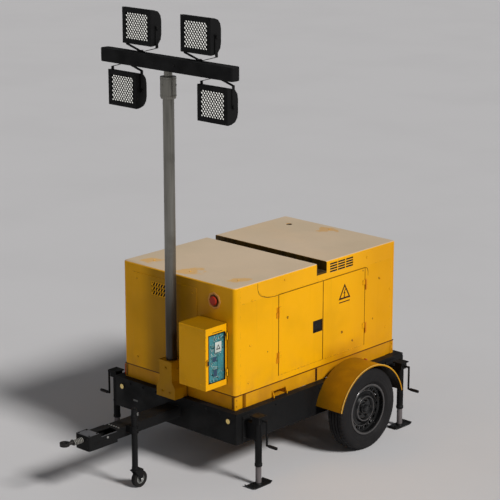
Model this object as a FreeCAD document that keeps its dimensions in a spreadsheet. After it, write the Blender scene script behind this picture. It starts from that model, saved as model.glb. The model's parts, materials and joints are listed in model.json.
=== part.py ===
"""Towable diesel generator with a telescopic lighting mast.

A parametric document: the driving sizes are cells of the sheet Dim, and each sub-part reads them.
Millimetres, +Z up, +X the right-hand side, the drawbar towards -Y.
The origin is on the ground, under the middle of the machine's bounding box.
"""
import FreeCAD, Part
import math
import os
import re
import Sketcher

SIZES = {
    # Canopy: the sheet-metal house round the generating set
    "canopy_half": 590,
    "canopy_front": -366,
    "canopy_rear": 1507,
    "canopy_base": 665,
    "canopy_top": 1495,
    "sheet": 4,
    "corner_radius": 28,
    "roof_radius": 12,
    "roof_edge_z": 1362,
    "end_panel_depth": 60,
    "seam_width": 3,
    "seam_depth": 1.8,
    "groove_front": 550,
    "groove_rear": 660,
    "groove_floor": 1420,
    # Doors in both sides
    "door_front": 112,
    "door_middle": 623,
    "door_rear": 1129,
    "door_bottom": 712,
    "door_top": 1350,
    "door_gap": 4,
    "door_depth": 20,
    "hinge_offset": 6,
    "hinge_radius": 5.5,
    "hinge_pin": 3,
    "hinge_low": 814,
    "hinge_high": 1170,
    "hinge_length": 80,
    "latch_front": 507,
    "latch_rear": 615,
    "latch_bottom": 953,
    "latch_top": 1047,
    # Louvres and openings
    "louvre_front": 697,
    "louvre_rear": 982,
    "louvre_bottom": 1394,
    "louvre_top": 1475,
    "vent_left": -277,
    "vent_right": -60,
    "vent_bottom": 1282,
    "vent_top": 1388,
    "cover_left": -486,
    "cover_right": 205,
    "cover_bottom": 703,
    "cover_top": 1426,
    "cover_thick": 4,
    "stop_x": 382,
    "stop_z": 1367,
    "stop_radius": 34,
    "stop_stem": 16,
    "stop_proud": 21,
    # Base skid with its fork pockets
    "skid_base": 555,
    "skid_top": 661,
    "skid_wall": 8,
    "post_size": 40,
    "recess_length": 60,
    "recess_depth": 10,
    "pocket_front": 45,
    "pocket_rear": 186,
    "pocket_height": 45,
    "pocket_back_front": 954,
    "pocket_back_rear": 1095,
    # Trailer chassis
    "chassis_half": 652,
    "chassis_front": -418,
    "chassis_rear": 1553,
    "chassis_top": 555,
    "chassis_bottom": 313,
    "rail_width": 60,
    "rail_thick": 8,
    "cross_width": 60,
    "cross_top": 398,
    # Drawbar, towing eye and bellows
    "beam_half": 70,
    "beam_bottom": 398,
    "beam_top": 474,
    "beam_rear": 420,
    "head_half": 75,
    "head_front": -1355,
    "head_rear": -1075,
    "head_bottom": 380,
    "head_top": 486,
    "head_wall": 8,
    "hatch_left": -5,
    "hatch_front": -1235,
    "hatch_rear": -1085,
    "hatch_sill": 467,
    "head_step": -1240,
    "head_low_top": 476,
    "clamp_bottom": 434,
    "clamp_reach": 31,
    "shank_radius": 13,
    "shank_drop": 14,
    "eye_y": -1523,
    "eye_z": 470,
    "eye_radius": 36,
    "eye_hole": 20,
    "eye_thick": 24,
    "eye_rim": 4,
    "bellows_radius": 21,
    "bellows_front": -1444,
    # Running gear
    "axle_y": 822,
    "tyre_radius": 325,
    "tyre_half": 84,
    "tyre_centre": 823,
    "bead_radius": 190,
    "stub_radius": 22,
    "fit_gap": 0.06,
    "axle_beam_top": 310,
    "axle_beam_size": 60,
    "fender_y": 850,
    "fender_z": 292,
    "fender_radius": 384,
    "fender_thick": 3,
    "fender_outer": 912,
    "fender_end_angle": 14,
    # Corner jacks
    "jack_x": 764,
    "jack_front": -300,
    "jack_rear": 1385,
    "jack_radius": 26,
    "leg_radius": 22.5,
    "leg_bore": 23,
    "jack_bottom": 150,
    "jack_cap": 548,
    "jack_cap_half": 46,
    "leg_top": 255,
    "pad_length": 205,
    "pad_width": 97,
    "crank_z": 516,
    "crank_x": 848,
    "crank_arm": 182,
    "crank_grip_end": 947,
    "crank_bar": 8,
    # Jockey wheel on the drawbar
    "jockey_x": 133,
    "jockey_y": -960,
    "jockey_tube": 22.5,
    "jockey_bore": 23,
    "jockey_top": 610,
    "jockey_tube_bottom": 165,
    "jockey_trail": 40,
    "jockey_wheel_radius": 64,
    "jockey_wheel_half": 17,
    "fork_half": 29,
    "fork_cheek": 5,
    # Mast
    "mast_y": -438,
    "mast_radius": 42,
    "mast_bore": 37,
    "mast_foot": 570,
    "sleeve_half": 65,
    "sleeve_base_half": 98,
    "sleeve_flare_low": 640,
    "sleeve_flare_top": 690,
    "sleeve_top": 845,
    "collar_radius": 59,
    "collar_bottom": 2838,
    "collar_top": 2998,
    "inner_radius": 31,
    "inner_wall": 4,
    "inner_foot": 900,
    "bar_bottom": 3040,
    "bar_top": 3141,
    "bar_half": 680,
    "bar_depth": 89,
    "bar_corner": 30,
    "bar_wall": 6,
    # Lamps
    "lamp_half": 150,
    "lamp_height": 266,
    "lamp_depth": 108,
    "lamp_rise": 189,
    "lamp_upper_x": 300,
    "lamp_lower_x": 463,
    "yoke_y": -407,
    "yoke_width": 26,
    "yoke_strip": 4,
    "yoke_foot_half": 14,
    "yoke_knee": 40,
    "glass_half": 118,
    "glass_half_height": 99,
    "glass_recess": 10,
    # Control box
    "box_left": 237,
    "box_right": 512,
    "box_front": -596,
    "box_bottom": 749,
    "box_top": 1224,
    "box_wall": 3,
    "window_front": -567,
    "window_rear": -388,
    "window_bottom": 795,
    "window_top": 1168,
    "board_x": 496,
    # Generating set
    "engine_front": 640,
    "engine_rear": 1140,
    "crank_height": 880,
    "fan_y": 1215,
    "radiator_y": 1300,
    "exhaust_x": -379,
    "exhaust_y": 1317,
    "exhaust_opening": 26,
    "tail_radius": 24.5,
    "tail_bore": 21.5,
}

doc = FreeCAD.newDocument("TowableGenerator")
sheet = doc.addObject("Spreadsheet::Sheet", "Dim")
for row, (alias, size) in enumerate(SIZES.items(), start=1):
    sheet.set(f"A{row}", alias)
    sheet.set(f"B{row}", str(size))
    sheet.setAlias(f"B{row}", alias)
doc.recompute()

NODES = []
AXIS_TURN = {
    "X": FreeCAD.Rotation(FreeCAD.Vector(0, 1, 0), 90),
    "Y": FreeCAD.Rotation(FreeCAD.Vector(1, 0, 0), -90),
    "Z": FreeCAD.Rotation(),
}
SIDES = {"left": -1, "right": 1}
ENDS = {"front": "jack_front", "rear": "jack_rear"}


# ---------------------------------------------------------------- helpers

def formula(text):
    """The expression with each size's alias pointed at its cell in the sheet."""
    return re.sub(r"[a-z][a-z_]+", lambda m: "Dim." + m.group(0) if m.group(0) in SIZES else m.group(0),
                  str(text))


def value(text):
    return float(sheet.evalExpression(formula(text)))


def bind(obj, **properties):
    for name, text in properties.items():
        obj.setExpression(name.replace("__", "."), formula(text))


def place(obj, x, y, z):
    bind(obj, Placement__Base__x=x, Placement__Base__y=y, Placement__Base__z=z)


def box(name, x, y, z):
    """A block between a low and a high bound along each axis."""
    obj = doc.addObject("Part::Box", name)
    place(obj, x[0], y[0], z[0])
    bind(obj, Length=f"({x[1]}) - ({x[0]})", Width=f"({y[1]}) - ({y[0]})", Height=f"({z[1]}) - ({z[0]})")
    return obj


def side_box(name, side, x, y, z):
    """A block whose x bounds are measured outwards from the middle plane, on one side."""
    if side > 0:
        return box(name, x, y, z)
    return box(name, (f"-({x[1]})", f"-({x[0]})"), y, z)


def along(axis, centre, low):
    """The three coordinates of a point at low along an axis through a centre."""
    coordinates = list(centre)
    coordinates.insert("XYZ".index(axis), low)
    return coordinates


def rod(name, axis, radius, centre, span):
    """A cylinder along an axis; centre holds its other two coordinates in X, Y, Z order."""
    obj = doc.addObject("Part::Cylinder", name)
    obj.Placement = FreeCAD.Placement(FreeCAD.Vector(), AXIS_TURN[axis])
    place(obj, *along(axis, centre, span[0]))
    bind(obj, Radius=radius, Height=f"({span[1]}) - ({span[0]})")
    return obj


def cone(name, axis, radii, centre, span):
    obj = doc.addObject("Part::Cone", name)
    obj.Placement = FreeCAD.Placement(FreeCAD.Vector(), AXIS_TURN[axis])
    place(obj, *along(axis, centre, span[0]))
    bind(obj, Radius1=radii[0], Radius2=radii[1], Height=f"({span[1]}) - ({span[0]})")
    return obj


def mirrored_span(side, low, high):
    """Bounds along X measured outwards from the middle plane, in rising order."""
    return (low, high) if side > 0 else (f"-({high})", f"-({low})")


def fuse(name, *parts):
    obj = doc.addObject("Part::MultiFuse", name)
    obj.Shapes = list(parts)
    obj.Refine = True
    return obj


def cut(name, base, *tools):
    obj = doc.addObject("Part::Cut", name)
    obj.Base = base
    obj.Tool = tools[0] if len(tools) == 1 else fuse(name + "Tools", *tools)
    return obj


def common(name, first, second):
    obj = doc.addObject("Part::Common", name)
    obj.Base = first
    obj.Tool = second
    return obj


def tube(name, axis, radii, centre, span):
    outer = rod(name + "Outer", axis, radii[0], centre, span)
    inner = rod(name + "Bore", axis, radii[1], centre, (f"({span[0]}) - 1", f"({span[1]}) + 1"))
    return cut(name, outer, inner)


def node(label, *parts):
    """Names a finished sub-part; several parts stay separate solids of one node."""
    if len(parts) == 1:
        obj = parts[0]
    else:
        obj = doc.addObject("Part::Compound", "Group_" + label)
        obj.Links = list(parts)
    obj.Label = label
    NODES.append(obj)
    return obj


def body_with_outline(name, plane, points, offset="0"):
    """A PartDesign body holding one closed outline; each corner is bound to the sheet."""
    body = doc.addObject("PartDesign::Body", name)
    sketch = body.newObject("Sketcher::SketchObject", name + "Outline")
    origin_plane = next(f for f in body.Origin.OriginFeatures if f.Role == plane + "_Plane")
    sketch.AttachmentSupport = [(origin_plane, "")]
    sketch.MapMode = "FlatFace"
    bind(sketch, AttachmentOffset__Base__z=offset)
    corners = [FreeCAD.Vector(value(u), value(v), 0) for u, v in points]
    count = len(corners)
    for i in range(count):
        sketch.addGeometry(Part.LineSegment(corners[i], corners[(i + 1) % count]))
    for i in range(count):
        sketch.addConstraint(Sketcher.Constraint("Coincident", i, 2, (i + 1) % count, 1))
    for i, (u, v) in enumerate(points):
        for kind, text in (("DistanceX", u), ("DistanceY", v)):
            index = sketch.addConstraint(Sketcher.Constraint(kind, -1, 1, i, 1, value(text)))
            sketch.setExpression(f"Constraints[{index}]", formula(text))
    return body, sketch


def padded(name, plane, points, span):
    """An outline padded between two bounds along the plane's normal axis."""
    low, high = span
    offset = f"-({high})" if plane == "XZ" else low
    body, sketch = body_with_outline(name, plane, points, offset)
    pad = body.newObject("PartDesign::Pad", name + "Pad")
    pad.Profile = sketch
    bind(pad, Length=f"({high}) - ({low})")
    return body


def revolved(name, plane, points, line):
    """An outline turned a full circle about the sketch's H_Axis or V_Axis."""
    body, sketch = body_with_outline(name, plane, points)
    turn = body.newObject("PartDesign::Revolution", name + "Turn")
    turn.Profile = sketch
    turn.ReferenceAxis = (sketch, [line])
    turn.Angle = 360
    return body


def rounded(body, radius, wanted):
    """Fillets the tip's edges that a test picks by their two end points or circle."""
    doc.recompute()
    tip = body.Tip
    names = [f"Edge{i}" for i, edge in enumerate(tip.Shape.Edges, start=1) if wanted(edge)]
    fillet = body.newObject("PartDesign::Fillet", tip.Name + "Round")
    fillet.Base = (tip, names)
    bind(fillet, Radius=radius)
    return body


def is_along(axis):
    """A test for straight edges along one axis."""
    def test(edge):
        if edge.Curve.TypeId != "Part::GeomLine":
            return False
        return abs(edge.tangentAt(edge.FirstParameter)["XYZ".index(axis)]) > 0.999
    return test


def is_at(axis, level):
    """A test for edges that lie wholly at one level of an axis."""
    index = "XYZ".index(axis)

    def test(edge):
        return all(abs(vertex.Point[index] - level) < 0.01 for vertex in edge.Vertexes)
    return test


def rectangle(x, y):
    return [(x[0], y[0]), (x[1], y[0]), (x[1], y[1]), (x[0], y[1])]


def ring_of(count, radius, start=0.0):
    """Points evenly round a circle, as (cosine, sine) times the radius."""
    for i in range(count):
        turn = math.radians(start) + 2 * math.pi * i / count
        yield i, radius * math.cos(turn), radius * math.sin(turn)


# ---------------------------------------------------------------- canopy panels

def canopy_block(name, inset, base):
    """The house as one rounded block, set in from its outer faces."""
    half = f"canopy_half - {inset}"
    body = padded(name, "XY",
                  rectangle((f"-({half})", half), (f"canopy_front + {inset}", f"canopy_rear - {inset}")),
                  (base, f"canopy_top - {inset}"))
    rounded(body, f"corner_radius - {inset}", is_along("Z"))
    rounded(body, f"roof_radius - {inset}", is_at("Z", value(f"canopy_top - {inset}")))
    return body


def seam_strip(name, side, corners):
    """A shallow channel along a path on a side face, for a pressed panel joint."""
    width = value("seam_width")
    deep = value("seam_depth")
    face = side * value("canopy_half")
    low = min(face, face - side * deep)
    pieces = []
    for (y1, z1), (y2, z2) in zip(corners, corners[1:]):
        run = math.hypot(y2 - y1, z2 - z1)
        strip = Part.makeBox(deep + 1, run, width, FreeCAD.Vector(0, 0, -width / 2))
        angle = math.degrees(math.atan2(z2 - z1, y2 - y1))
        strip.Placement = FreeCAD.Placement(
            FreeCAD.Vector(low if side > 0 else low - 1, y1, z1),
            FreeCAD.Rotation(FreeCAD.Vector(1, 0, 0), angle)).multiply(strip.Placement)
        pieces.append(strip)
        disc = Part.makeCylinder(width / 2, deep + 1, FreeCAD.Vector(low if side > 0 else low - 1, y1, z1),
                                 FreeCAD.Vector(1, 0, 0))
        pieces.append(disc)
    shape = pieces[0].multiFuse(pieces[1:])
    obj = doc.addObject("Part::Feature", name)
    obj.Shape = shape
    return obj


def curve(start, first_pull, second_pull, end, steps=8):
    """Points along a smooth curve in the side view, drawn by two pulling points."""
    points = []
    for i in range(steps + 1):
        t = i / steps
        weights = ((1 - t) ** 3, 3 * t * (1 - t) ** 2, 3 * t ** 2 * (1 - t), t ** 3)
        corners = (start, first_pull, second_pull, end)
        points.append(tuple(sum(w * corner[k] for w, corner in zip(weights, corners)) for k in (0, 1)))
    return points


def side_seams():
    """The joint that drops from the roof and sweeps down to the doors, and the tail behind them."""
    top = value("canopy_top")
    line = value("door_top") - 2
    front, rear = value("door_front"), value("door_rear")
    sweep = curve((-120, top - 50), (-118, top - 92), (-62, line + 9), (front - 55, line))
    drop = [(-120, top + 1)] + sweep + [(front + 2, line)]
    tail = curve((rear - 2, line), (rear + 22, line - 2), (rear + 36, line - 22), (rear + 36, line - 55))
    return drop, tail + [(rear + 36, line - 72)]


def canopy():
    outer = canopy_block("CanopyOuter", 0, "canopy_base")
    inner = canopy_block("CanopyInner", "sheet", "canopy_base - 5")
    plain = cut("CanopyShell", outer, inner)
    seams = [seam_strip(f"Seam_{name}{i}", side, path)
             for name, side in SIDES.items() for i, path in enumerate(side_seams())]
    shell = cut("CanopySeamed", plain, *seams)
    wide = ("-canopy_half - 5", "canopy_half + 5")
    end_top = "canopy_top - roof_radius"
    front_zone = ("canopy_front - 5", "canopy_front + end_panel_depth")
    rear_zone = ("canopy_rear - end_panel_depth", "canopy_rear + 5")

    front = common("FrontRegion", shell, box("FrontZone", wide, front_zone, ("canopy_base", end_top)))
    vent = box("FrontVent", ("vent_left", "vent_right"), front_zone, ("vent_bottom", "vent_top"))
    stop = rod("StopHole", "Y", "stop_stem + 1", ("stop_x", "stop_z"), front_zone)
    node("front_panel", cut("FrontPanel", front, vent, stop))

    rear = common("RearRegion", shell, box("RearZone", wide, rear_zone, ("canopy_base", end_top)))
    grille = [box(f"RearSlot{i}", ("-300", "300"), rear_zone, (f"{760 + 60 * i}", f"{784 + 60 * i}"))
              for i in range(8)]
    node("rear_panel", cut("RearPanel", rear, *grille))

    for name, side in SIDES.items():
        side_panel(name, side, shell)
    roofs(shell, wide, end_top, front_zone, rear_zone)


def side_panel(name, side, shell):
    """Four strips round the doorway, with the fixed halves of the door hinges."""
    front, rear = "canopy_front + end_panel_depth", "canopy_rear - end_panel_depth"
    low, high = "canopy_base", "roof_edge_z"
    strips = {
        "Front": ((front, "door_front"), (low, high)),
        "Rear": (("door_rear", rear), (low, high)),
        "Below": (("door_front", "door_rear"), (low, "door_bottom")),
        "Above": (("door_front", "door_rear"), ("door_top", high)),
    }
    solids = []
    for place_name, (y, z) in strips.items():
        zone = side_box(f"Zone{place_name}_{name}", side, ("canopy_half - 60", "canopy_half + 5"), y, z)
        solids.append(common(f"Side{place_name}_{name}", shell, zone))
    for edge, reach in (("door_front", -1), ("door_rear", 1)):
        for level in ("hinge_low", "hinge_high"):
            solids.append(panel_hinge(f"{name}_{edge}_{level}", side, edge, reach, level))
    node(f"side_panel_{name}", *solids)


def hinge_axis(side, edge, reach):
    x = f"{side} * (canopy_half + hinge_offset)"
    y = f"{edge} + {reach} * 4"
    return x, y


def panel_hinge(name, side, edge, reach, level):
    """The fixed half of a door hinge: a leaf, a lower knuckle and the pin that stands in it."""
    x, y = hinge_axis(side, edge, reach)
    low = (level, f"{level} + hinge_length / 2 - 0.5")
    knuckle = rod(f"Knuckle_{name}", "Z", "hinge_radius", (x, y), low)
    pin = rod(f"Pin_{name}", "Z", "hinge_pin", (x, y), (level, f"{level} + hinge_length - 4"))
    span = (f"{edge} - 26", f"{edge} - 4") if reach < 0 else (f"{edge} + 4", f"{edge} + 26")
    leaf = side_box(f"Leaf_{name}", side, ("canopy_half", "canopy_half + 3"), span, low)
    return fuse(f"Hinge_{name}", knuckle, pin, leaf)


def roofs(shell, wide, end_top, front_zone, rear_zone):
    """Front and rear roof trays with a cross channel between them."""
    tops = ("roof_edge_z", "canopy_top + 5")
    ends = [box("FrontEndZone", wide, front_zone, ("roof_edge_z - 5", end_top)),
            box("RearEndZone", wide, rear_zone, ("roof_edge_z - 5", end_top))]
    inside = ("-(canopy_half - sheet)", "canopy_half - sheet")
    across = ("-canopy_half", "canopy_half")

    zone = box("RoofFrontZone", wide, (front_zone[0], "groove_front"), tops)
    tray = cut("RoofFrontTray", common("RoofFrontRegion", shell, zone), ends[0])
    wall = box("RoofFrontWall", inside, ("groove_front - sheet", "groove_front"),
               ("groove_floor", "canopy_top - sheet"))
    node("roof_front", fuse("RoofFront", tray, wall))

    zone = box("RoofRearZone", wide, ("groove_front", rear_zone[1]), tops)
    channel = box("RoofGroove", wide, ("groove_front - 1", "groove_rear"),
                  ("groove_floor", "canopy_top + 9"))
    tray = cut("RoofRearTray", common("RoofRearRegion", shell, zone), ends[1], channel)
    floor = box("GrooveFloor", across, ("groove_front", "groove_rear + sheet"),
                ("groove_floor - sheet", "groove_floor"))
    wall = box("RoofRearWall", inside, ("groove_rear", "groove_rear + sheet"),
               ("groove_floor - sheet", "canopy_top - sheet"))
    solid = fuse("RoofRearSolid", tray, floor, wall)
    openings = [rod("ExhaustOpening", "Z", "exhaust_opening", ("exhaust_x", "exhaust_y"),
                    ("canopy_top - 20", "canopy_top + 5"))]
    columns, rows = 3, 4
    pitch_y = "(louvre_rear - louvre_front) / 3"
    pitch_z = "(louvre_top - louvre_bottom) / 4"
    for name, side in SIDES.items():
        for column in range(columns):
            for row in range(rows):
                low_y = f"louvre_front + {column} * {pitch_y} + 5"
                low_z = f"louvre_bottom + {row} * {pitch_z} + 3"
                openings.append(side_box(
                    f"Louvre_{name}{column}{row}", side,
                    ("canopy_half - 10", "canopy_half + 5"),
                    (low_y, f"{low_y} + {pitch_y} - 10"), (low_z, f"{low_z} + {pitch_z} - 7")))
    node("roof_rear", cut("RoofRear", solid, *openings))


def access_cover():
    plate = padded("AccessCover", "XZ",
                   rectangle(("cover_left", "cover_right"), ("cover_bottom", "cover_top")),
                   ("canopy_front - cover_thick", "canopy_front"))
    rounded(plate, "10", is_along("Y"))
    rounded(plate, "2", is_at("Y", value("canopy_front - cover_thick")))
    vent = box("CoverVent", ("vent_left", "vent_right"), ("canopy_front - 20", "canopy_front + 5"),
               ("vent_bottom", "vent_top"))
    node("access_cover", cut("AccessCoverVented", plate, vent))


# ---------------------------------------------------------------- doors and latches

def toward_door(edge, reach, low, high):
    """Bounds along Y measured from a hinge edge towards its door, in rising order."""
    if reach < 0:
        return f"{edge} + ({low})", f"{edge} + ({high})"
    return f"{edge} - ({high})", f"{edge} - ({low})"


def door(name, side, hinge_edge, reach, free_edge, with_latch):
    """A tray-shaped door with its two hinge knuckles; reach points from the door to its hinge."""
    gap = f"{-reach} * door_gap"
    edges = [f"{hinge_edge} + {gap}", f"{free_edge} - {gap} / 2"]
    low_y, high_y = edges if reach < 0 else edges[::-1]
    low_z, high_z = "door_bottom + door_gap", "door_top - door_gap"
    tray = side_box(f"Tray_{name}", side, ("canopy_half - door_depth", "canopy_half"),
                    (low_y, high_y), (low_z, high_z))
    hollow = side_box(f"Hollow_{name}", side, ("canopy_half - door_depth - 1", "canopy_half - sheet"),
                      (f"{low_y} + sheet", f"{high_y} - sheet"), (f"{low_z} + sheet", f"{high_z} - sheet"))
    tools = [hollow]
    if with_latch:
        tools.append(side_box(f"LatchHole_{name}", side, ("canopy_half - 8", "canopy_half + 1"),
                              ("latch_front", "latch_rear"), ("latch_bottom", "latch_top")))
    solids = [cut(f"DoorTray_{name}", tray, *tools)]
    x, y = hinge_axis(side, hinge_edge, reach)
    for level in ("hinge_low", "hinge_high"):
        upper = (f"{level} + hinge_length / 2 + 0.5", f"{level} + hinge_length")
        knuckle = rod(f"DoorKnuckle_{name}_{level}", "Z", "hinge_radius", (x, y), upper)
        near = toward_door(hinge_edge, reach, -4, 6)
        far = toward_door(hinge_edge, reach, 5, 28)
        bridge = side_box(f"DoorBridge_{name}_{level}", side, ("canopy_half + 1", "canopy_half + 4"), near,
                          upper)
        leaf = side_box(f"DoorLeaf_{name}_{level}", side, ("canopy_half", "canopy_half + 4"), far, upper)
        bore = rod(f"DoorBore_{name}_{level}", "Z", "hinge_pin + fit_gap", (x, y),
                   (f"{level} + hinge_length / 2 - 2", f"{level} + hinge_length - 3.5"))
        solids.append(cut(f"DoorHinge_{name}_{level}",
                          fuse(f"DoorHingeSolid_{name}_{level}", knuckle, bridge, leaf), bore))
    node(f"door_{name}", *solids)


def door_latch(name, side):
    """A square paddle that tips outwards about its top edge."""
    inner, outer = "canopy_half - 7", "canopy_half - 3"
    paddle = side_box(f"Paddle_{name}", side, (inner, outer), ("latch_front + 5", "latch_rear - 5"),
                      ("latch_bottom + 6", "latch_top - 6"))
    lip = side_box(f"PaddleLip_{name}", side, (inner, "canopy_half + 4"),
                   ("latch_front + 25", "latch_rear - 25"),
                   ("latch_bottom + 6", "latch_bottom + 14"))
    pin = rod(f"PaddlePin_{name}", "Y", "3", (f"{side} * (canopy_half - 5)", "latch_top - 6"),
              ("latch_front + 3", "latch_rear - 3"))
    node(f"door_latch_{name}", fuse(f"Latch_{name}", paddle, lip, pin))


def doors():
    for name, side in SIDES.items():
        door(f"{name}_front", side, "door_front", -1, "door_middle", True)
        door(f"{name}_rear", side, "door_rear", 1, "door_middle", False)
        door_latch(name, side)


# ---------------------------------------------------------------- base skid and chassis

def base_skid():
    """A low steel tray under the canopy with corner posts and two pairs of fork pockets."""
    half, front, rear = "canopy_half", "canopy_front", "canopy_rear"
    tall = ("skid_base", "skid_top")
    wall, post, recess = "skid_wall", "post_size", "recess_depth"
    solids = []
    for name, side in SIDES.items():
        run = (f"{front} + {post} + recess_length", f"{rear} - {post} - recess_length")
        solids.append(side_box(f"SkidSide_{name}", side, (f"{half} - {wall}", half), run, tall))
        for end, low, high in (("Front", f"{front} + {post} - 1", f"{front} + {post} + recess_length + 1"),
                               ("Rear", f"{rear} - {post} - recess_length - 1", f"{rear} - {post} + 1")):
            solids.append(side_box(f"SkidRecess{end}_{name}", side,
                                   (f"{half} - {recess} - {wall}", f"{half} - {recess} + 3"), (low, high),
                                   tall))
        for end, low, high in (("Front", front, f"{front} + {post}"), ("Rear", f"{rear} - {post}", rear)):
            body = padded(f"SkidPost{end}_{name}", "XY",
                          rectangle(mirrored_span(side, f"{half} - {post}", half), (low, high)), tall)
            rounded(body, "12", is_along("Z"))
            solids.append(body)
    for end, low, high in (("Front", f"{front} + 4", f"{front} + 4 + {wall}"),
                           ("Rear", f"{rear} - 4 - {wall}", f"{rear} - 4")):
        solids.append(box(f"SkidEnd{end}", (f"-({half} - {post} + 1)", f"{half} - {post} + 1"), (low, high),
                          tall))
    solids.append(box("SkidFloor", (f"-({half} - 15)", f"{half} - 15"), (f"{front} + 10", f"{rear} - 10"),
                      ("skid_top - 12", "skid_top - 6")))
    for name, side in SIDES.items():
        solids.append(side_box(f"SkidLip_{name}", side, (f"{half} - 40", f"{half} - 14"),
                               (f"{front} + 30", f"{rear} - 30"), ("skid_top - 7", "canopy_base")))
    hollows = []
    for index, (low, high) in enumerate((("pocket_front", "pocket_rear"),
                                         ("pocket_back_front", "pocket_back_rear"))):
        for place_name, edge in (("A", f"{low} - 4"), ("B", high)):
            solids.append(box(f"PocketWeb{index}{place_name}", ("-canopy_half + 1", "canopy_half - 1"),
                              (edge, f"{edge} + 4"), ("skid_base + 5", "skid_base + pocket_height + 4")))
        for place_name, level in (("Floor", "skid_base"), ("Top", "skid_base + pocket_height")):
            solids.append(box(f"Pocket{place_name}{index}", ("-canopy_half + 1", "canopy_half - 1"),
                              (f"{low} - 4", f"{high} + 4"), (level, f"{level} + 4")))
        hollows.append(box(f"PocketMouth{index}", ("-canopy_half - 5", "canopy_half + 5"), (low, high),
                           ("skid_base + 4", "skid_base + pocket_height")))
    node("base_skid", cut("BaseSkid", fuse("SkidSolid", *solids), *hollows))


def cross_member_lines():
    """Front edges of the cross members, evenly spaced between the end beams."""
    return [-70, 265, 600, 935, 1270]


def chassis():
    half, thick = "chassis_half", "rail_thick"
    tall = ("chassis_bottom", "chassis_top")
    inner_tall = (f"chassis_bottom + {thick}", f"chassis_top - {thick}")
    solids = []
    notch = box("DrawbarNotch", ("-beam_half", "beam_half"), ("chassis_front - 5", "chassis_front + 20"),
                ("beam_bottom", "beam_top"))
    for end, low, high, inner in (
            ("Front", "chassis_front", "chassis_front + rail_width",
             (f"chassis_front + {thick}", "chassis_front + rail_width + 1")),
            ("Rear", "chassis_rear - rail_width", "chassis_rear",
             ("chassis_rear - rail_width - 1", f"chassis_rear - {thick}"))):
        outer = box(f"{end}BeamOuter", (f"-{half}", half), (low, high), tall)
        hollow = box(f"{end}BeamHollow", (f"-({half} - {thick})", f"{half} - {thick}"), inner, inner_tall)
        tools = [hollow, notch] if end == "Front" else [hollow]
        solids.append(cut(f"{end}Beam", outer, *tools))
    run = ("chassis_front + rail_width", "chassis_rear - rail_width")
    for name, side in SIDES.items():
        outer = side_box(f"Rail_{name}_Outer", side, (f"{half} - rail_width", half), run, tall)
        hollow = side_box(f"Rail_{name}_Hollow", side, (f"{half} - rail_width - 1", f"{half} - {thick}"),
                          (f"{run[0]} - 1", f"{run[1]} + 1"), inner_tall)
        solids.append(cut(f"Rail_{name}", outer, hollow))
    for index, line in enumerate(cross_member_lines()):
        solids.append(box(f"CrossMember{index}", (f"-({half} - {thick})", f"{half} - {thick}"),
                          (str(line), f"{line} + cross_width"), (f"chassis_bottom + {thick}", "cross_top")))
    node("chassis_frame", *solids)


def mudguards():
    """Curved guards over the tyres with an inner web bolted to the chassis side."""
    radius, thick = value("fender_radius"), value("fender_thick")
    y, z = value("fender_y"), value("fender_z")
    low_x, high_x = value("chassis_half"), value("fender_outer")
    ends = value("fender_end_angle")
    guards = []
    for side in SIDES.values():
        def sector(outer, inner, x_from, x_to, first=ends, last=180 - ends):
            """Part of a ring about the guard's axis, from one angle to another."""
            ring = []
            for r, a, b in ((outer, first, last), (inner, last, first)):
                points = [FreeCAD.Vector(x_from, y + r * math.cos(math.radians(t)),
                                         z + r * math.sin(math.radians(t)))
                          for t in (a, (a + b) / 2, b)]
                ring.append(points)
            edges = [Part.Arc(*ring[0]).toShape(), Part.LineSegment(ring[0][2], ring[1][0]).toShape(),
                     Part.Arc(*ring[1]).toShape(), Part.LineSegment(ring[1][2], ring[0][0]).toShape()]
            return Part.Face(Part.Wire(edges)).extrude(FreeCAD.Vector(x_to - x_from, 0, 0))
        sheet_part = sector(radius, radius - thick, low_x, high_x)
        bead = sector(radius + 1.5, radius - 8, high_x - 6, high_x)
        web = sector(radius - thick / 2, radius - 56, low_x, low_x + thick)
        shape = sheet_part.fuse([bead, web]).removeSplitter()
        if side < 0:
            shape = shape.mirror(FreeCAD.Vector(), FreeCAD.Vector(1, 0, 0))
        guard = doc.addObject("Part::Feature", f"Guard{'Left' if side < 0 else 'Right'}")
        guard.Shape = shape
        guards.append(guard)
    node("mudguards", *guards)


# ---------------------------------------------------------------- drawbar, hitch and jockey wheel

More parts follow.
